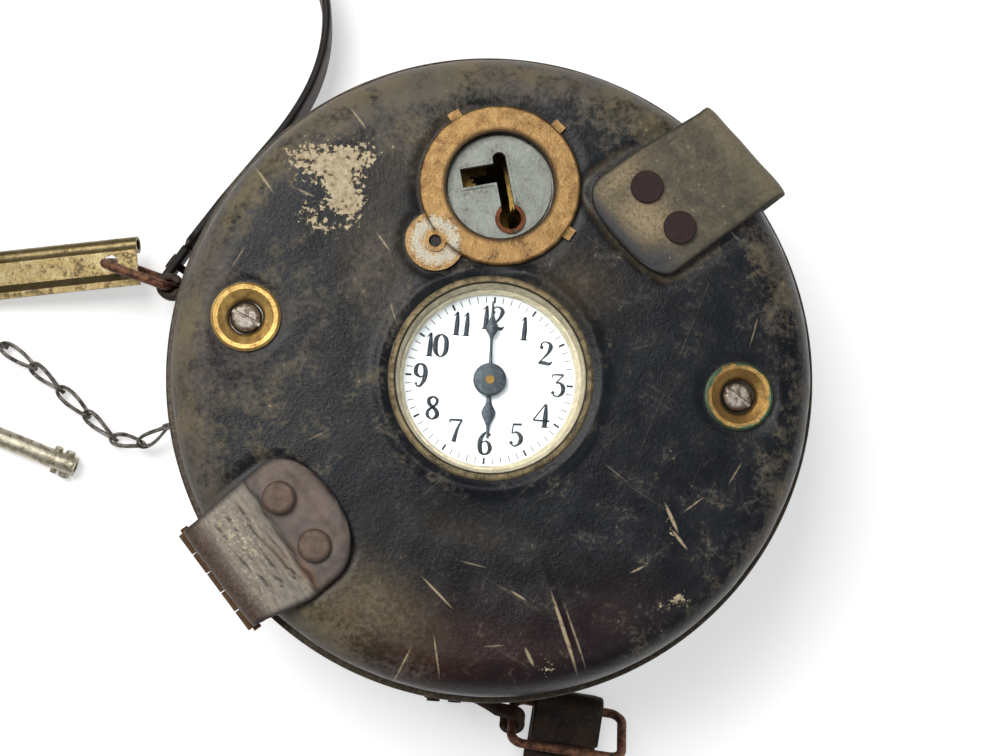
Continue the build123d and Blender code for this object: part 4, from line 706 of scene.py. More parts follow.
def tab_rings(inner, outside, drop, low, high, count):
    """A tab's skin in its own frame: outward, across, height. Its middle runs flat, round a quarter circle
    and down, and low and high give its two borders at each place. Returns rings, the distance travelled
    along the tab, the share from one border to the other, the share of outer face and the normal."""
    turn_start = outside - tab_bend
    middle = tab_bend - tab_thickness / 2
    bend_height = tab_low + tab_thickness - tab_bend
    flat = inner + (turn_start - inner) * np.linspace(0, 1, flat_steps) ** 1.6
    arc_turn = np.linspace(0, math.pi / 2, bend_steps + 1)[1:]
    fall = np.linspace(bend_height, drop, drop_steps + 1)[1:]
    place = np.concatenate([flat, turn_start + middle * np.sin(arc_turn), np.full(drop_steps, turn_start + middle)])
    height = np.concatenate([np.full(flat_steps, tab_low + tab_thickness / 2),
                             bend_height + middle * np.cos(arc_turn), fall])
    travelled = np.concatenate([flat, turn_start + middle * arc_turn,
                                turn_start + middle * math.pi / 2 + (bend_height - fall)])
    across_low, across_high = low(travelled)[:, None], high(travelled)[:, None]
    side, rise = rounded((np.arange(count) + 0.5) / count * 2 * math.pi, 1.0, 1.0, 0.42, 0.62)
    along = unit(np.gradient(np.stack([place, height], axis=1), axis=0))
    normal = np.stack([-along[:, 1], along[:, 0]], axis=1)
    thick = tab_thickness / 2 * np.clip((travelled - inner + 0.25) / 1.1, 0.2, 1) ** 0.5
    thick = thick * np.clip((travelled[-1] - travelled + 0.35) / 0.7, 0.5, 1) ** 0.5
    rings = np.zeros((len(place), count, 3))
    rings[:, :, 0] = place[:, None]
    rings[:, :, 1] = (across_low + across_high) / 2 + (across_high - across_low) / 2 * side
    rings[:, :, 2] = height[:, None]
    raise_rings(rings, normal, rise * thick[:, None])
    return rings, travelled[:, None] + 0 * side, side + 0 * travelled[:, None], np.clip(rise, 0, 1), normal


def raise_rings(rings, normal, lift):
    """Moves a tab's places along its normal."""
    rings[:, :, 0] += normal[:, :1] * lift
    rings[:, :, 2] += normal[:, 1:] * lift


def border(start, first, reach, power, later):
    """A tab's border: it leaves the middle at start, reaches its width by reach along a superellipse of the
    given power, and goes on through the later points."""
    def found(place):
        share = np.clip((place - start) / reach, 0, 1)
        curve = first[0] + (first[1] - first[0]) * (1 - (1 - share) ** power) ** (1 / power)
        xs, ys = np.array([(start + reach, first[1]), *later]).T
        return np.where(place < start + reach, curve, np.interp(place, xs, ys))
    return found


def tab_mesh(rings, angle, attributes):
    """A tab's skin turned to where the tab sits."""
    turned_back = seen_from(-angle, rings[:, :, 0], rings[:, :, 1])
    return skin(np.stack([*turned_back, rings[:, :, 2]], axis=-1), attributes)


rings, place_out, side, face, normal = tab_rings(
    upper_start, 81.2, 34.0,
    border(upper_start, (3.6, -10.6), 6.2, 2.4, [(77.0, -13.2), (80.0, -14.0), (112.0, -13.2)]),
    border(upper_start, (3.8, 18.2), 7.4, 2.6, [(60.0, 17.2), (77.0, 14.2), (112.0, 13.2)]), 120)
y = rings[:, :, 1].copy()
wave = 0.22 * waves(rings[:, :, 0] + rings[:, :, 2], y, 12.0, 31)
groove = 0.25 * near(np.abs(side), 0.80, 0.05) * (place_out < 78)
pit = near(np.hypot(place_out - 55.0, y - 9.0), 4.4, 1.2) + near(np.hypot(place_out - 55.0, y + 3.3), 4.4, 1.2)
raise_rings(rings, normal, (wave - 0.3 - groove - 0.35 * pit) * face)
upper_mesh = tab_mesh(rings, upper_angle, {
    "edge": np.clip(ramp(np.abs(side), 0.93, 0.05) + near(place_out, upper_start, 0.8), 0, 1),
    "tan": patches(place_out, y, (0.95, 50.5, 3.5, 5.0, 7.0, 20), (0.6, 53.0, 15.0, 7.0, 2.6, 0)),
    "dark": np.clip(near(place_out, 43.2, 1.8) + patches(place_out, y, (0.9, 47.0, -6.5, 3.5, 4.0, 0)), 0, 1),
    "fold": near(place_out, 79.0, 4.0) + 0.5 * ramp(place_out, 84, 4), "crack": 0.0})
upper_mesh = drilled(upper_mesh, [(lock_out * 70 + lock_rise, lock_out * 90 + lock_rise, 6.1)])

hide = Finish("worn_upper_tab_leather", Specular_IOR_Level=0.3)
cloud = hide.noise(4.5, detail=5.0, rough=0.6)
speck = hide.noise(0.85, detail=6.0, rough=0.72)
tone = hide.mottled(cloud, 0.36, 0.64, (84, 79, 66), (118, 109, 88))
tone = hide.mottled(speck, 0.36, 0.66, hide.blend(0.55, tone, (40, 39, 37)), tone)
tone = hide.blend(hide.times(hide.given("tan"), hide.between(speck, 0.34, 0.55, 0.3, 1.25)), tone, (168, 148, 114))
tone = hide.blend(hide.times(hide.given("dark"), 0.85), tone, (58, 62, 68))
tone = hide.blend(hide.times(hide.given("fold"), hide.between(speck, 0.3, 0.6, 0.3, 0.9)), tone, (126, 116, 94))
bits = hide.times(hide.between(hide.cells(1.9), 0.0, 0.2, 1.0, 0.0), hide.between(cloud, 0.45, 0.55))
tone = hide.blend(hide.times(bits, 0.8), tone, (168, 154, 126))
tone = hide.blend(hide.times(hide.given("edge"), 0.85), tone, (34, 31, 28))
bump = hide.raised(hide.sum("MULTIPLY_ADD", cloud, 0.6, speck), 0.28)
place("upper_tab_leather", upper_mesh, hide.done(tone, hide.between(cloud, 0.3, 0.7, 0.42, 0.62), bump), "lid",
      "tab_leather", "upper_tab")

rings, place_out, side, face, normal = tab_rings(
    lower_start, 81.3, 61.2,
    border(lower_start, (0.0, -15.0), 9.0, 2.2, [(66.0, -14.4), (77.0, -13.4), (90.0, -13.2)]),
    border(lower_start, (0.4, 16.6), 12.0, 2.1, [(66.0, 17.0), (74.0, 15.2), (78.0, 14.2), (90.0, 13.6)]), 150)
y = rings[:, :, 1].copy()
split = place_out - lower_split_at - 0.05 * y - 0.25 * np.sin(y * 0.9)
outer = ramp(split, -0.3, 0.6)
gap = 0.85 * near(split, 0.0, 0.40) * np.clip((y + 11) / 6, 0.25, 1)
crack_bend = place_out + 0.35 * np.sin(y * 0.55) + 0.18 * np.sin(y * 1.7 + 1)
fissure = np.zeros_like(place_out)
for spot, start, end in ((65.2, -6, 13), (67.0, -12, 3), (68.6, -4, 12), (70.4, -13, 1), (71.9, -2, 11),
                         (73.6, -11, 4), (66.1, 3, 15), (69.5, 6, 15)):
    fissure += near(crack_bend, spot, 0.17) * ramp(y, start, 3) * (1 - ramp(y, end - 3, 3))
ridge = 0.55 * near(np.abs(side), 0.62, 0.2) * (1 - outer) + 0.5 * near(place_out, 51.5, 1.8)
pit = near(np.hypot(place_out - 58.1, y - 6.3), 4.6, 1.3) + near(np.hypot(place_out - 58.2, y + 7.5), 4.6, 1.3)
wave = 0.12 * waves(place_out, y, 9.0, 41)
raise_rings(rings, normal, (wave + ridge - 0.55 - gap - 0.42 * fissure - 0.5 * pit) * face)
lower_mesh = tab_mesh(rings, lower_angle, {
    "edge": np.clip(ramp(np.abs(side), 0.90, 0.08) + near(place_out, lower_start, 1.2), 0, 1),
    "tan": patches(place_out, y, (0.95, 71.0, -4.5, 4.5, 9.5, 0), (0.4, 74.5, 7, 3, 6, 0)),
    "grey": outer * (1 - ramp(place_out, 75.0, 2.5)),
    "crack": np.clip(fissure + 0.9 * near(split, 0.0, 0.42), 0, 1),
    "rust": np.clip(patches(place_out, y, (1.0, 63.5, 11.5, 1.2, 4.0, 0), (0.7, 66.0, 4.0, 1.2, 4.0, 0)), 0, 1),
    "fold": ramp(place_out, 75.0, 3.5)})

hide = Finish("cracked_lower_tab_leather", Specular_IOR_Level=0.38)
cloud = hide.noise(5.0, detail=5.0, rough=0.6)
speck = hide.noise(0.8, detail=6.0, rough=0.72)
along_tab = hide.mapped(hide.mapped(hide.spot, turn=-lower_angle), scale=(1.0, 0.16, 1.0))
grain = hide.noise(0.75, detail=5.0, rough=0.7, spot=along_tab)
tone = hide.mottled(cloud, 0.36, 0.64, (90, 80, 76), (124, 108, 98))
tone = hide.blend(hide.given("grey"), tone, hide.mottled(grain, 0.36, 0.64, (118, 110, 101), (158, 148, 135)))
tone = hide.blend(hide.times(hide.given("tan"), hide.between(speck, 0.50, 0.60)), tone, (206, 190, 158))
tone = hide.blend(hide.times(hide.given("rust"), hide.between(speck, 0.35, 0.6)), tone, (128, 84, 44))
tone = hide.blend(hide.times(hide.given("fold"), 0.85), tone,
                  hide.mottled(speck, 0.4, 0.6, (48, 36, 34), (92, 70, 52)))
tone = hide.blend(hide.times(hide.given("edge"), 0.88), tone, (34, 27, 27))
tone = hide.blend(hide.given("crack"), tone, (24, 19, 17))
bump = hide.raised(hide.sum("MULTIPLY_ADD", hide.times(grain, hide.given("grey")), 0.8, speck), 0.25)
place("lower_tab_leather", lower_mesh, hide.done(tone, hide.between(cloud, 0.3, 0.7, 0.38, 0.55), bump), "lid",
      "tab_leather", "lower_tab")


# Dial window: a turned brass bezel, brown on its rim and cream on its sloped throat, and a flat glass. The
# bezel is pressed into the lid's leather.
dial_x, dial_y = dial_spot


def dressed(material, *names):
    """Gives a material to CAD pieces as they are."""
    for name in names:
        slots = nodes[name].data.materials
        slots.clear()
        slots.append(material)


def metal(name, bright, dull, tarnish, *pieces, rough=0.4, size=3.0, spots=0.35, depth=0.10, metallic=1.0,
          shade=None):
    """An aged metal for the named CAD pieces. Two tones of it mix in soft blotches, a third collects as
    spots of tarnish or rust, and fine noise makes it uneven. Spots is the share that the tarnish covers,
    and shade may add more tones."""
    made = Finish(name)
    cloud = made.noise(size, detail=5.0, rough=0.62, bend=0.5)
    speck = made.noise(size * 0.18, detail=5.0, rough=0.7)
    tone = made.mottled(cloud, 0.38, 0.62, bright, dull)
    share = made.between(made.sum("MULTIPLY_ADD", cloud, 0.5, made.times(speck, 0.5)), 0.60 - spots * 0.25,
                         0.66 - spots * 0.20)
    tone = made.blend(share, tone, tarnish)
    if shade:
        tone = shade(made, tone, cloud, speck)
    bare_metal = made.between(share, 0.0, 1.0, metallic, metallic * 0.45)
    made.tree.links.new(bare_metal, made.shader.inputs["Metallic"])
    uneven = made.plus(made.between(speck, 0.3, 0.7, rough - 0.08, rough + 0.14), made.times(share, 0.16))
    height = made.sum("MULTIPLY_ADD", cloud, 0.7, speck)
    dressed(made.done(tone, uneven, made.raised(height, depth)), *pieces)
    return made.material


def bezel_shade(made, tone, cloud, speck):
    """Cream inside the groove, a dark line at it, brown outside."""
    reach = made.reach(dial_x, dial_y)
    cream = made.mottled(cloud, 0.4, 0.6, (226, 214, 182), (196, 184, 152))
    cream = made.blend(made.between(speck, 0.58, 0.7), cream, (120, 106, 76))
    tone = made.blend(made.between(reach, 22.35, 22.45, 1.0, 0.0), tone, cream)
    line = made.times(made.between(reach, 22.2, 22.4), made.between(reach, 22.6, 22.8, 1.0, 0.0))
    return made.blend(line, tone, (46, 40, 30))


metal("aged_bezel_brass", (150, 134, 98), (112, 100, 74), (72, 60, 44), "dial_bezel", rough=0.5, size=2.2,
      depth=0.16, metallic=0.45, shade=bezel_shade)
glass = Finish("clear_dial_glass", Transmission_Weight=1.0, IOR=1.45)
glass_rough = glass.between(glass.noise(6.0), 0.3, 0.7, 0.01, 0.04)
dressed(glass.done((0.97, 0.99, 1.0, 1.0), glass_rough, None), "dial_glass")
nodes["dial_glass"].visible_shadow = False


# Dial: a white enamelled plate with printed minute marks and plain numerals. Each numeral is a few strokes
# of the pen that swell and thin, and some end in a ball.
dial_top = 63.6
ink_low = dial_top - 0.01
ink_high = dial_top + 0.03
figure_height = 5.67
hour_rings = (14.95, 14.95, 16.4, 14.95, 14.4, 14.95, 14.4, 14.95, 16.4, 14.95, 14.95, 14.95)
mark_reach = [[18.45], [19.95]]
figures = {
    "1": (0.30, [[(0.01, 0.80, .016), (0.10, 0.90, .03), (0.17, 0.97, .04)],
                 [(0.17, 1.0, .05), (0.17, 0.5, .10), (0.15, 0.02, .10)], [(0.0, 0.02, .025), (0.30, 0.02, .025)]],
          []),
    "2": (0.62, [[(0.10, 0.74, .05), (0.13, 0.90, .035), (0.30, 0.975, .03), (0.48, 0.88, .07), (0.50, 0.72, .095),
                  (0.40, 0.50, .06), (0.20, 0.25, .035), (0.04, 0.06, .03)],
                 [(0.03, 0.07, .05), (0.25, 0.085, .08), (0.48, 0.055, .065), (0.60, 0.16, .025)]],
          [(0.13, 0.73, .075)]),
    "3": (0.62, [[(0.05, 0.80, .02), (0.08, 0.93, .03), (0.52, 0.955, .045)], [(0.52, 0.95, .03), (0.22, 0.60, .03)],
                 [(0.22, 0.60, .03), (0.40, 0.60, .05), (0.53, 0.42, .095), (0.50, 0.18, .08), (0.30, 0.03, .035),
                  (0.12, 0.10, .04)]], [(0.11, 0.18, .075)]),
    "4": (0.70, [[(0.48, 0.98, .03), (0.02, 0.30, .035)], [(0.02, 0.29, .04), (0.70, 0.29, .04)],
                 [(0.52, 1.0, .05), (0.52, 0.5, .10), (0.50, 0.03, .10)], [(0.36, 0.02, .025), (0.66, 0.02, .025)]],
          []),
    "5": (0.60, [[(0.16, 0.93, .045), (0.52, 0.95, .05)], [(0.17, 0.95, .03), (0.13, 0.55, .03)],
                 [(0.13, 0.55, .02), (0.32, 0.61, .05), (0.50, 0.45, .09), (0.50, 0.22, .09), (0.32, 0.04, .04),
                  (0.14, 0.07, .04)]], [(0.12, 0.16, .075)]),
    "6": (0.58, [[(0.44, 0.93, .03), (0.30, 0.94, .05), (0.12, 0.70, .09), (0.08, 0.40, .10), (0.14, 0.12, .08),
                  (0.30, 0.03, .04), (0.46, 0.12, .07), (0.51, 0.30, .09), (0.44, 0.50, .07), (0.28, 0.58, .03),
                  (0.12, 0.46, .03)]], [(0.46, 0.86, .06)]),
    "7": (0.54, [[(0.03, 0.80, .02), (0.06, 0.93, .045), (0.54, 0.94, .05)],
                 [(0.53, 0.95, .035), (0.36, 0.60, .06), (0.22, 0.02, .10)]], []),
    "8": (0.58, [[(0.29, 0.975, .04), (0.12, 0.85, .075), (0.14, 0.66, .08), (0.29, 0.53, .07), (0.46, 0.36, .09),
                  (0.48, 0.16, .09), (0.29, 0.03, .04), (0.10, 0.15, .07), (0.11, 0.36, .07), (0.29, 0.53, .05),
                  (0.43, 0.66, .06), (0.46, 0.85, .06), (0.29, 0.975, .04)]], []),
    "9": (0.58, [[(0.45, 0.52, .03), (0.30, 0.43, .04), (0.12, 0.55, .08), (0.09, 0.72, .09), (0.14, 0.90, .07),
                  (0.28, 0.975, .04), (0.44, 0.88, .08), (0.50, 0.62, .10), (0.46, 0.32, .09), (0.30, 0.05, .05),
                  (0.13, 0.06, .035)]], [(0.13, 0.14, .06)]),
    "0": (0.58, [[(0.29, 0.98, .03), (0.10, 0.80, .09), (0.06, 0.5, .105), (0.10, 0.20, .09), (0.29, 0.02, .03),
                  (0.48, 0.20, .09), (0.52, 0.5, .105), (0.48, 0.80, .09), (0.29, 0.98, .03)]], [])}


def smoothed(points, steps=9):
    """A curve through all its points, by the Catmull-Rom formula, for any number of columns."""
    points = np.array(points, float)
    if len(points) < 3:
        return points[0] + (points[-1] - points[0]) * np.linspace(0, 1, steps)[:, None]
    wide = np.concatenate([2 * points[:1] - points[1:2], points, 2 * points[-1:] - points[-2:-1]])
    share = np.linspace(0, 1, steps, endpoint=False)[:, None, None]
    a, b, c, d = wide[:-3], wide[1:-2], wide[2:-1], wide[3:]
    made = 0.5 * (2 * b + (c - a) * share + (2 * a - 5 * b + 4 * c - d) * share ** 2
                  + (3 * b - a - 3 * c + d) * share ** 3)
    return np.concatenate([made.transpose(1, 0, 2).reshape(-1, points.shape[1]), points[-1:]])


def ribbon(line):
    """A flat printed stroke: rings of four points about a line of places and half widths."""
    along = directions(line[:, :2])
    side = np.stack([-along[:, 1], along[:, 0]], axis=1) * line[:, 2:3]
    left, right = line[:, :2] + side, line[:, :2] - side
    rings = np.empty((len(line), 4, 3))
    rings[:, :, :2] = np.stack([left, right, right, left], axis=1)
    rings[:, :2, 2], rings[:, 2:, 2] = ink_low, ink_high
    return rings


def joined(all_rings, closed=True):
    """One mesh from several skins."""
    work = bmesh.new()
    for rings in all_rings:
        part = skin(rings, closed=closed)
        outward(part)
        work.from_mesh(part)
        bpy.data.meshes.remove(part)
    mesh = bpy.data.meshes.new("joined")
    work.to_mesh(mesh)
    work.free()
    return mesh


def dot(x, y, radius):
    """A round stroke: half widths that follow a circle along its line."""
    share = np.sin(np.linspace(-1, 1, 11) * math.pi / 2 * 0.97)
    return np.stack([x + radius * share, np.full(11, y), radius * np.sqrt(1 - share ** 2)], axis=1)


enamel = Finish("white_dial_enamel", Specular_IOR_Level=0.5)
stain = enamel.noise(4.0, detail=4.0)
fleck = enamel.times(enamel.between(enamel.cells(1.5), 0.0, 0.10, 1.0, 0.0), enamel.between(stain, 0.5, 0.56))
tone = enamel.mottled(stain, 0.4, 0.62, (246, 249, 250), (232, 240, 244))
tone = enamel.blend(enamel.times(fleck, 0.5), tone, (150, 150, 150))
# Painted shade: the enamel is darkened towards its rim, under the bezel's wall.
rim_shade = enamel.times(enamel.between(enamel.reach(dial_x, dial_y), 19.0, 23.5), 0.5)
tone = enamel.blend(rim_shade, tone, (196, 194, 184))
dressed(enamel.done(tone, 0.32, enamel.raised(stain, 0.02)), "dial_plate")

strokes = []
for hour, ring_radius in enumerate(hour_rings, 1):
    text = str(hour)
    gap = 0.12 if text == "11" else 0.02
    wide = sum(figures[letter][0] for letter in text) + gap * (len(text) - 1)
    turn = math.radians(90 - 30 * hour)
    start = np.array([dial_x + ring_radius * math.cos(turn) - wide / 2 * figure_height,
                      dial_y + ring_radius * math.sin(turn) - figure_height / 2, 0.0])
    for letter in text:
        width, lines, balls = figures[letter]
        for line in [smoothed(points) for points in lines] + [dot(*ball) for ball in balls]:
            strokes.append(ribbon(line * figure_height + start))
        start[0] += (width + gap) * figure_height
for minute in range(60):
    turn = math.radians(6 * minute)
    ends = np.array(mark_reach) * np.array([math.cos(turn), math.sin(turn)]) + dial_spot
    strokes.append(ribbon(np.column_stack([ends, [0.25 if minute % 5 == 0 else 0.10] * 2])))
ink = Finish("printed_dial_ink", Specular_IOR_Level=0.3)
worn_ink = ink.mottled(ink.noise(0.5, detail=3.0), 0.6, 0.72, (32, 40, 48), (120, 128, 134))
place("dial_printing", joined(strokes), ink.done(worn_ink, 0.5, None), "root", "dial_white")


# Hands: two stamped blades of blued steel on turned hubs, each swelling to a spade before its tip. The
# brass pin of the centre pinion stands through them.
blade_outline = np.array([(-1, 0), (-1, 0.35), (-0.8, 0.7), (-0.4, 0.95), (0, 1), (0.4, 0.95), (0.8, 0.7),
                          (1, 0.35), (1, 0), (0, -0.05)])


def hand_rings(angle, places, halves, low, high):
    """A hand's blade: half widths along it, with edges drawn in towards the top. Rings of ten points."""
    turn = math.radians(90 - angle)
    heading = np.array([math.cos(turn), math.sin(turn)])
    across = np.array([-heading[1], heading[0]])
    line = smoothed(np.column_stack([places, halves]), 7)
    rings = np.empty((len(line), len(blade_outline), 3))
    middle = np.array(dial_spot) + line[:, :1] * heading
    rings[:, :, :2] = middle[:, None] + (line[:, 1:] * blade_outline[:, 0])[:, :, None] * across
    rings[:, :, 2] = low + (high - low) * blade_outline[:, 1]
    return rings


def hub_rings(profile, around=64):
    """A turned hub about the dial's centre."""
    return turned(np.array(profile), around) + np.array([dial_x, dial_y, 0.0])


hand_steel = metal("blued_hand_steel", (44, 52, 58), (70, 80, 86), (92, 96, 90), rough=0.42, size=0.9,
                   spots=0.2, depth=0.03, metallic=0.6)
minute_mesh = joined([
    hand_rings(-1.5, [2.6, 4.5, 9.3, 10.6, 11.8, 12.9, 14.2, 15.6, 18.6],
               [0.5, 0.40, 0.36, 0.75, 1.45, 1.35, 0.75, 0.36, 0.22], 65.55, 65.95),
    hub_rings([(0.05, 65.5), (3.6, 65.5), (3.85, 65.6), (3.93, 65.75), (3.8, 65.92), (3.3, 66.0), (1.2, 66.03),
               (0.05, 66.03)])])
hour_mesh = joined([
    hand_rings(178.0, [2.6, 4.4, 5.8, 6.8, 7.8, 8.8, 10.0, 11.2, 13.8],
               [0.7, 0.55, 0.8, 1.35, 1.62, 1.35, 0.8, 0.42, 0.28], 64.3, 64.7),
    hub_rings([(0.9, 64.25), (3.4, 64.25), (3.6, 64.4), (3.6, 64.65), (3.4, 64.75), (0.9, 64.75)])])
pin_mesh = joined([hub_rings([(0.05, 65.9), (0.75, 65.95), (0.85, 66.1), (0.7, 66.3), (0.35, 66.4),
                              (0.05, 66.42)], 32)])
pin_brass = metal("centre_pin_brass", (206, 178, 120), (168, 138, 84), (100, 82, 50), rough=0.3, size=0.8,
                  spots=0.1, depth=0.02)
place("minute_hand_blade", minute_mesh, hand_steel, "minute", "hand_black", "minute_hand")
place("hour_hand_blade", hour_mesh, hand_steel, "hour", "hand_black", "hour_hand")
place("hand_pin", pin_mesh, pin_brass, "minute", "movement_brass")


# Keyhole group: a cast brass ring with a lobe, an eyelet and lugs, worn gold on its high places and brown
# in its hollows; a grey zinc plate pressed with the keyhole; and a copper bush with verdigris.
def ring_shade(made, tone, cloud, speck):
    """White paint left round the eyelet, and dark dirt along the ring's inner edge."""
    paint_reach = made.plus(made.reach(*lobe_spot), made.between(speck, 0.3, 0.7, -1.5, 1.5))
    ring_share = made.times(made.between(paint_reach, 2.6, 3.2), made.between(paint_reach, 5.2, 6.0, 1.0, 0.0))
    low_side = made.between(made.reach(-12.6, 27.0), 1.4, 2.4, 1.0, 0.0)
    low_side = made.times(low_side, made.between(speck, 0.46, 0.52))
    ring_share = made.sum("MAXIMUM", ring_share, low_side)
    tone = made.blend(made.times(ring_share, 0.92), tone, (176, 172, 156))
    edge = made.between(made.reach(*key_spot), 13.2, 14.2, 1.0, 0.0)
    outer = made.times(made.between(made.reach(*key_spot), 18.2, 18.9),
                     made.between(made.reach(*key_spot), 19.3, 20.0, 1.0, 0.0))
    tone = made.blend(made.times(outer, made.between(cloud, 0.4, 0.6, 0.2, 0.8)), tone, (94, 66, 36))
    return made.blend(edge, tone, (66, 50, 32))


key_ring_brass = metal("worn_ring_brass", (172, 138, 90), (140, 108, 68), (104, 80, 52), rough=0.42, size=3.2, spots=0.12,
                       depth=0.16, metallic=0.85, shade=ring_shade)
dressed(key_ring_brass, "key_ring")
key_zinc = metal("weathered_zinc", (148, 152, 144), (130, 134, 126), (112, 112, 100), rough=0.5, size=4.4, spots=0.12,
                 depth=0.08, metallic=0.55)
dressed(key_zinc, "key_plate")
bush_copper = metal("worn_bush_copper", (112, 68, 46), (70, 44, 32), (96, 150, 138), rough=0.45, size=1.2, spots=0.12,
                    depth=0.08)
dressed(bush_copper, "keyhole_bush")


# Lid screws: two slotted steel screws in dished brass washers. The right washer is browner, with green
# verdigris round its rim.
def washer_shade(made, tone, cloud, speck):
    """Brown right washer and its green rim; dark dirt in both bowls near the screw."""
    left, right = made.reach(*screw_spots[0]), made.reach(*screw_spots[1])
    on_right = made.between(right, 9.0, 9.5, 1.0, 0.0)
    tone = made.blend(made.times(on_right, 0.62), tone, (132, 96, 54))
    green = made.times(made.between(made.plus(right, made.between(cloud, 0.3, 0.7, -0.8, 0.8)), 7.1, 7.7),
                     on_right)
    tone = made.blend(made.times(green, 0.85), tone, (62, 104, 84))
    least = made.sum("MINIMUM", left, right)
    return made.blend(made.between(least, 3.9, 5.0, 0.9, 0.0), tone, (46, 36, 24))


washer_brass = metal("dished_washer_brass", (222, 186, 112), (182, 144, 84), (112, 86, 50), rough=0.34, size=2.4, spots=0.15,
                     depth=0.14, metallic=0.9, shade=washer_shade)
dressed(washer_brass, "screw_washers")
screw_steel = metal("worn_screw_steel", (168, 160, 150), (112, 102, 92), (84, 58, 40), rough=0.34, size=1.3, spots=0.3,
                    depth=0.10)
dressed(screw_steel, "lid_screws")
rivet_metal = metal("oxidised_rivet_bronze", (64, 44, 42), (50, 36, 38), (84, 62, 54), rough=0.52, size=1.2, spots=0.12,
                    depth=0.20, metallic=0.55)
lid_rivet_metal = metal("domed_rivet_bronze", (122, 104, 92), (104, 86, 76), (78, 60, 52), rough=0.48, size=1.6, spots=0.1,
                        depth=0.20, metallic=0.55)
dressed(rivet_metal, "upper_rivets", "small_rivets")
dressed(lid_rivet_metal, "lower_rivets")
hinge_brass = metal("rusted_hinge_brass", (116, 92, 60), (82, 60, 40), (104, 58, 34), rough=0.55, size=2.0, spots=0.45,
                    depth=0.2, metallic=0.6)
dressed(hinge_brass, "body_hinge_leaf", "lid_hinge_leaf", "hinge_pin")


# Folded strap ends and chapes: the shoulder strap's ends, 2.5 mm hide folded round the rings and riveted
# under, and two narrow brown leather loops that hold the rings on the drum.
def on_plane(points, origin, x_axis, y_axis, z_axis, z=0.0):
    """Places in a plane turned into the clock's frame."""
    points = np.array(points, float)
    return (np.array(origin) + points[:, :1] * np.array(x_axis) + points[:, 1:2] * np.array(y_axis)
            + z * np.array(z_axis))


def fold_path(long_side, short_side, radius, steps=18):
    """A fold's line in its plane: along one side, half a circle round the ring's bar, and back."""
    back = arc((0.0, 0.0), radius, 90, 270, steps)
    return np.concatenate([run((long_side, radius), (0.0, radius), 12), back, run((0.0, -radius), (short_side, -radius), 12)[1:],
                           [(short_side, -radius)]])


left_axes = ((0.532, 0.833, 0.151), (-0.847, 0.529, 0.06), (-0.03, -0.16, 0.987))
bottom_axes = ((-0.087, -0.996, 0.0), (0.0, 0.0, -1.0), (0.996, -0.087, 0.0))
for name, origin, axes, long_side, short_side, width, shift in (
        ("left_strap_fold", (-82.119, 21.479, 14.0), left_axes, 10.0, 7.0, 12.0, -2.6),
        ("bottom_strap_fold", (28.547, -80.218, 4.72), bottom_axes, 12.0, 9.0, 18.0, 0.0)):
    line = on_plane(fold_path(long_side, short_side, 2.8), origin, *axes, z=shift)
    fold_rings, fold_edge = carried(line, np.tile(axes[2], (len(line), 1)), width, 2.5)
    place(name, skin(fold_rings, {"edge": fold_edge}), strap_leather, "root", "strap_leather",
          "left_strap_end" if name.startswith("left") else "bottom_strap_end")

chape_hide = Finish("brown_chape_leather", Specular_IOR_Level=0.35)
cloud = chape_hide.noise(2.6, detail=5.0)
speck = chape_hide.noise(0.6, detail=5.0, rough=0.7)
tone = chape_hide.blend(chape_hide.between(cloud, 0.38, 0.62), (84, 58, 42), (58, 42, 34))
tone = chape_hide.blend(chape_hide.between(speck, 0.56, 0.72, 0, 0.7), tone, (128, 98, 70))
tone = chape_hide.blend(chape_hide.times(chape_hide.given("edge"), 0.7), tone, (40, 28, 22))
chape_leather = chape_hide.done(tone, chape_hide.between(cloud, 0.3, 0.7, 0.45, 0.65), chape_hide.raised(speck, 0.15))
left_eye = arc((-82.30, 20.51), 2.45, 25, 335, 26)
left_tail = smoothed([(-79.75, 18.6), (-79.35, 15.0), (-79.05, 9.0), (-79.05, -4.0)], 8)
left_band = np.column_stack([np.concatenate([left_eye, left_tail]), np.full(26 + len(left_tail), 19.97)])
ring_up = np.array([-0.044, -0.156, 0.987])
left_tilt = np.concatenate([np.tile(ring_up, (26, 1)), ring_up + (np.array([0, 0, 1.0]) - ring_up)
                            * np.linspace(0, 1, len(left_tail))[:, None]])
bottom_axis = unit(np.array([-0.057, -0.647, 0.76]))
bottom_side = unit(np.cross([0.0, 0.0, 1.0], bottom_axis))
bottom_rise = np.cross(bottom_axis, bottom_side)
if bottom_side[0] < 0:
    bottom_side, bottom_rise = -bottom_side, -bottom_rise
up_sign = 1.0 if bottom_rise[1] > 0 else -1.0
bottom_tail = smoothed([(9.6, -81.6, 11.4), (6.0, -80.0, 11.0), (2.0, -79.05, 10.8), (-9.0, -79.05, 10.8)], 8)
bottom_arc = np.radians(np.linspace(-160, 90, 26))[:, None]
bottom_eye = np.array([13.748, -84.145, 10.8]) + 2.45 * (np.cos(bottom_arc) * bottom_side + np.sin(bottom_arc) * bottom_rise * up_sign)
bottom_band = np.concatenate([bottom_eye, bottom_tail])
bottom_tilt = np.concatenate([np.tile(bottom_axis, (26, 1)), bottom_axis + (np.array([0, 0, 1.0]) - bottom_axis)
                              * np.linspace(0.3, 1, len(bottom_tail))[:, None]])
chape_rings = []
for band, tilt in ((left_band, left_tilt), (bottom_band, bottom_tilt)):
    rings, chape_edge = carried(band, tilt, 4.5, 1.8)
    chape_rings.append((rings, chape_edge))
place("left_chape_loop", skin(chape_rings[0][0], {"edge": chape_rings[0][1]}),
                   chape_leather, "root", "chape_leather", "ring_chapes")
place("bottom_chape_loop", skin(chape_rings[1][0], {"edge": chape_rings[1][1]}),
                     chape_leather, "root", "chape_leather", "ring_chapes")


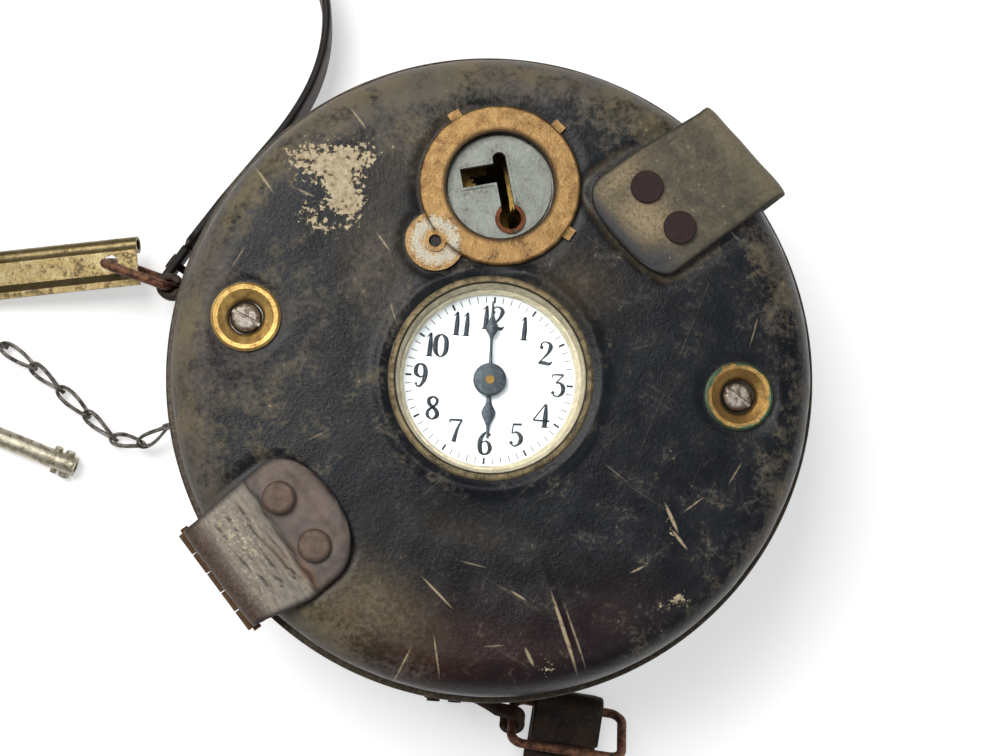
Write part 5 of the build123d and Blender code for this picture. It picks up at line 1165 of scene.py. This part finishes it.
# Wire rings: 2.4 mm iron wire bent to rounded oblongs, once coppered and now brown with rust. The left one
# swings in its chape; the bottom one stands at a slant between its strap fold and its chape.
def oblong(half_run, half_rise, corner, steps=9):
    """A rounded oblong in its plane: four quarter circles joined by straight sides of several points."""
    points = []
    for (x, y), first in (((half_run - corner, half_rise - corner), 0), ((corner - half_run, half_rise - corner), 90),
                          ((corner - half_run, corner - half_rise), 180), ((half_run - corner, corner - half_rise), 270)):
        points.append(arc((x, y), corner, first, first + 90, steps))
    loop = np.concatenate(points)
    after = np.roll(loop, -1, axis=0)
    gap = np.linalg.norm(after - loop, axis=1)
    made = [run(a, b, 10 if g > 3.0 else 1) for a, b, g in zip(loop, after, gap)]
    return np.concatenate(made)


def wire(line, radius, closed=True, sides=18, uneven=0.06, seed=5):
    """A round wire along a line, a little uneven. Its sides are two directions across the line, carried
    along it. Returns rings."""
    if closed:
        along = unit(np.roll(line, -1, axis=0) - np.roll(line, 1, axis=0))
        normal = unit(np.cross(line[0] - line.mean(axis=0), line[len(line) // 4] - line.mean(axis=0)))
        side = np.tile(normal, (len(line), 1))
    else:
        along = directions(line)
        side = np.tile([0.13, 0.21, 0.97], (len(line), 1))
    side = unit(side - along * np.sum(side * along, axis=1, keepdims=True))
    other = np.cross(along, side)
    turn = np.arange(sides) / sides * 2 * math.pi
    swell = 1 + uneven * waves(line[:, :1] * 1.0 + np.cos(turn) * 2, line[:, 1:2] + line[:, 2:] + np.sin(turn) * 2, 4.0, seed)
    reach = radius * np.minimum(swell, 1.02)
    return (line[:, None] + (reach * np.cos(turn))[:, :, None] * side[:, None]
            + (reach * np.sin(turn))[:, :, None] * other[:, None])


ring_iron = metal("rusted_copper_wire", (150, 104, 78), (92, 62, 48), (62, 40, 32), rough=0.48, size=1.6, spots=0.4,
                  depth=0.22, metallic=0.7)
left_run = np.array([-0.963, 0.27, 0.0])
left_loop = on_plane(oblong(8.6, 11.6, 3.2), (-90.399, 23.8, 14.0), left_run, ring_up, np.cross(left_run, ring_up))
place("left_wire_ring", skin(wire(left_loop, 1.2), closed="loop"), ring_iron, "side_ring",
                  "rust_copper", "left_ring")
bottom_run = np.array([0.996, -0.087, 0.0])
bottom_loop = on_plane(oblong(14.4, 8.0, 3.2), (28.094, -85.398, 10.8), bottom_run, bottom_axis,
                       np.cross(bottom_run, bottom_axis))
place("bottom_wire_ring", skin(wire(bottom_loop, 1.2, seed=6), closed="loop"), ring_iron,
                    "root", "rust_copper", "bottom_ring")


# Key chain: ten stamped lock links of steel strip. Each is one loop that narrows from its round eye to a
# waist and rises where its two legs cross, and it goes through the eye of the next.
chain_nodes = np.array([
    (-80.774, -14.971, 11.0), (-87.544, -19.628, 6.302), (-95.227, -18.63, 2.859), (-102.751, -12.871, 2.859),
    (-110.136, -6.932, 2.859), (-117.754, -1.333, 2.859), (-125.949, 3.428, 2.859), (-134.938, 5.539, 2.859),
    (-143.782, 3.402, 2.859), (-149.067, -3.806, 2.859), (-144.398, -11.257, 2.96)])


def link(start, end, roll):
    """One link: a closed line with x = L/2 cos t, y = -sin t (a + b cos t) and a rise of sin t (1 - cos t),
    in a frame that points from one node to the next, carried by a flat strip."""
    along = unit(end - start)
    across = unit(np.cross([0.0, 0.0, 1.0], along))
    rise = np.cross(along, across)
    across, rise = across * math.cos(roll) + rise * math.sin(roll), rise * math.cos(roll) - across * math.sin(roll)
    turn = np.arange(56) / 56 * 2 * math.pi
    long = np.linalg.norm(end - start) / 2 + 0.95
    x = long * np.cos(turn)
    y = -np.sin(turn) * (1.55 + 1.15 * np.cos(turn))
    z = 0.62 * np.sin(turn) * (1 - np.cos(turn)) / 2
    line = (start + end) / 2 + x[:, None] * along + y[:, None] * across + z[:, None] * rise
    forward = unit(np.roll(line, -1, axis=0) - np.roll(line, 1, axis=0))
    side = unit(rise - forward * (forward @ rise)[:, None])
    outside = np.cross(forward, side)
    angle = np.arange(10) / 10 * 2 * math.pi
    wide = 0.62 * np.sign(np.cos(angle)) * np.abs(np.cos(angle)) ** 0.6
    thick = 0.36 * np.sign(np.sin(angle)) * np.abs(np.sin(angle)) ** 0.6
    return line[:, None] + wide[None, :, None] * side[:, None] + thick[None, :, None] * outside[:, None]


links = [link(first, second, math.radians(38 if number % 2 else -38))
         for number, (first, second) in enumerate(zip(chain_nodes[:-1], chain_nodes[1:]))]
chain_steel = metal("stained_chain_steel", (150, 146, 136), (92, 90, 84), (56, 42, 34), rough=0.36, size=2.2, spots=0.42,
                    depth=0.10, metallic=0.9)
place("lock_link_chain", joined(links, closed="loop"), chain_steel, "root", "steel", "key_chain")
dressed(chain_steel, "chain_staple")


# Loose brass: the pipe key and the pressed strip, both pale nickelled brass that has yellowed in its
# hollows.
def strip_shade(made, tone, cloud, speck):
    """Long wiped streaks with olive between them."""
    along = made.mapped(made.mapped(made.spot, turn=math.radians(-189)), scale=(0.05, 1.2, 1.2))
    streak = made.noise(1.0, detail=3.0, spot=along)
    tone = made.blend(made.between(streak, 0.42, 0.6, 0, 0.75), tone, (124, 108, 70))
    return made.blend(made.times(made.between(speck, 0.60, 0.70), 0.6), tone, (70, 56, 36))


strip_brass = metal("yellowed_strip_nickel", (140, 128, 96), (108, 92, 60), (78, 64, 38), rough=0.34, size=5.0,
                    spots=0.3, depth=0.06, metallic=0.9, shade=strip_shade)
dressed(strip_brass, "pressed_strip")
key_nickel = metal("pale_key_nickel", (206, 200, 180), (166, 158, 136), (92, 78, 58), rough=0.34, size=1.6, spots=0.28,
                   depth=0.12, metallic=0.85)
dressed(key_nickel, "case_key")


# Inside: the lock, the two plates and wheels of the movement, the recorder and its paper tape, and the
# case's sheet steel pan and lid liner.
lock_steel = metal("oiled_lock_steel", (140, 138, 132), (104, 102, 98), (82, 60, 44), rough=0.34, size=2.0, spots=0.2)
dressed(lock_steel, "lock_housing", "lock_plug", "lock_tongue", "lid_catch")
pan_steel = metal("tinned_pan_steel", (150, 150, 146), (118, 118, 114), (104, 78, 54), rough=0.42, size=8.0, spots=0.22)
dressed(pan_steel, "case_pan", "lid_liner")
plate_brass = metal("lacquered_movement_brass", (196, 162, 92), (168, 136, 76), (118, 92, 52), rough=0.3, size=6.0,
                    spots=0.15, depth=0.03)
dressed(plate_brass, *("back_plate", "front_plate", "plate_pillars", "balance_wheel", "centre_wheel",
                                         "third_wheel", "fourth_wheel", "hour_wheel", "minute_wheel", "time_idler",
                                         "time_type_wheel", "mainspring_barrel", "supply_spool", "takeup_spool",
                                         "escape_wheel", "key_guide"))
arbor_steel = metal("polished_movement_steel", (150, 150, 150), (120, 120, 122), (96, 78, 62), rough=0.26, size=3.0,
                    spots=0.12, depth=0.02)
dressed(arbor_steel, "cannon_pinion", "pallet_fork", "winding_arbor", "tape_posts", "print_hammer")
spring_blue = metal("blued_spring_steel", (54, 66, 104), (44, 52, 78), (72, 62, 58), rough=0.28, size=3.0, spots=0.15,
                    depth=0.02)
dressed(spring_blue, "mainspring", "hairspring")
tape = Finish("printing_tape_paper", Specular_IOR_Level=0.2)
tape_fibre = tape.noise(0.8, detail=5.0)
tape_tone = tape.blend(tape.between(tape.noise(9.0), 0.4, 0.6), (232, 224, 202), (216, 206, 180))
dressed(tape.done(tape_tone, tape.between(tape_fibre, 0.3, 0.7, 0.75, 0.9), tape.raised(tape_fibre, 0.03)), "paper_tape")
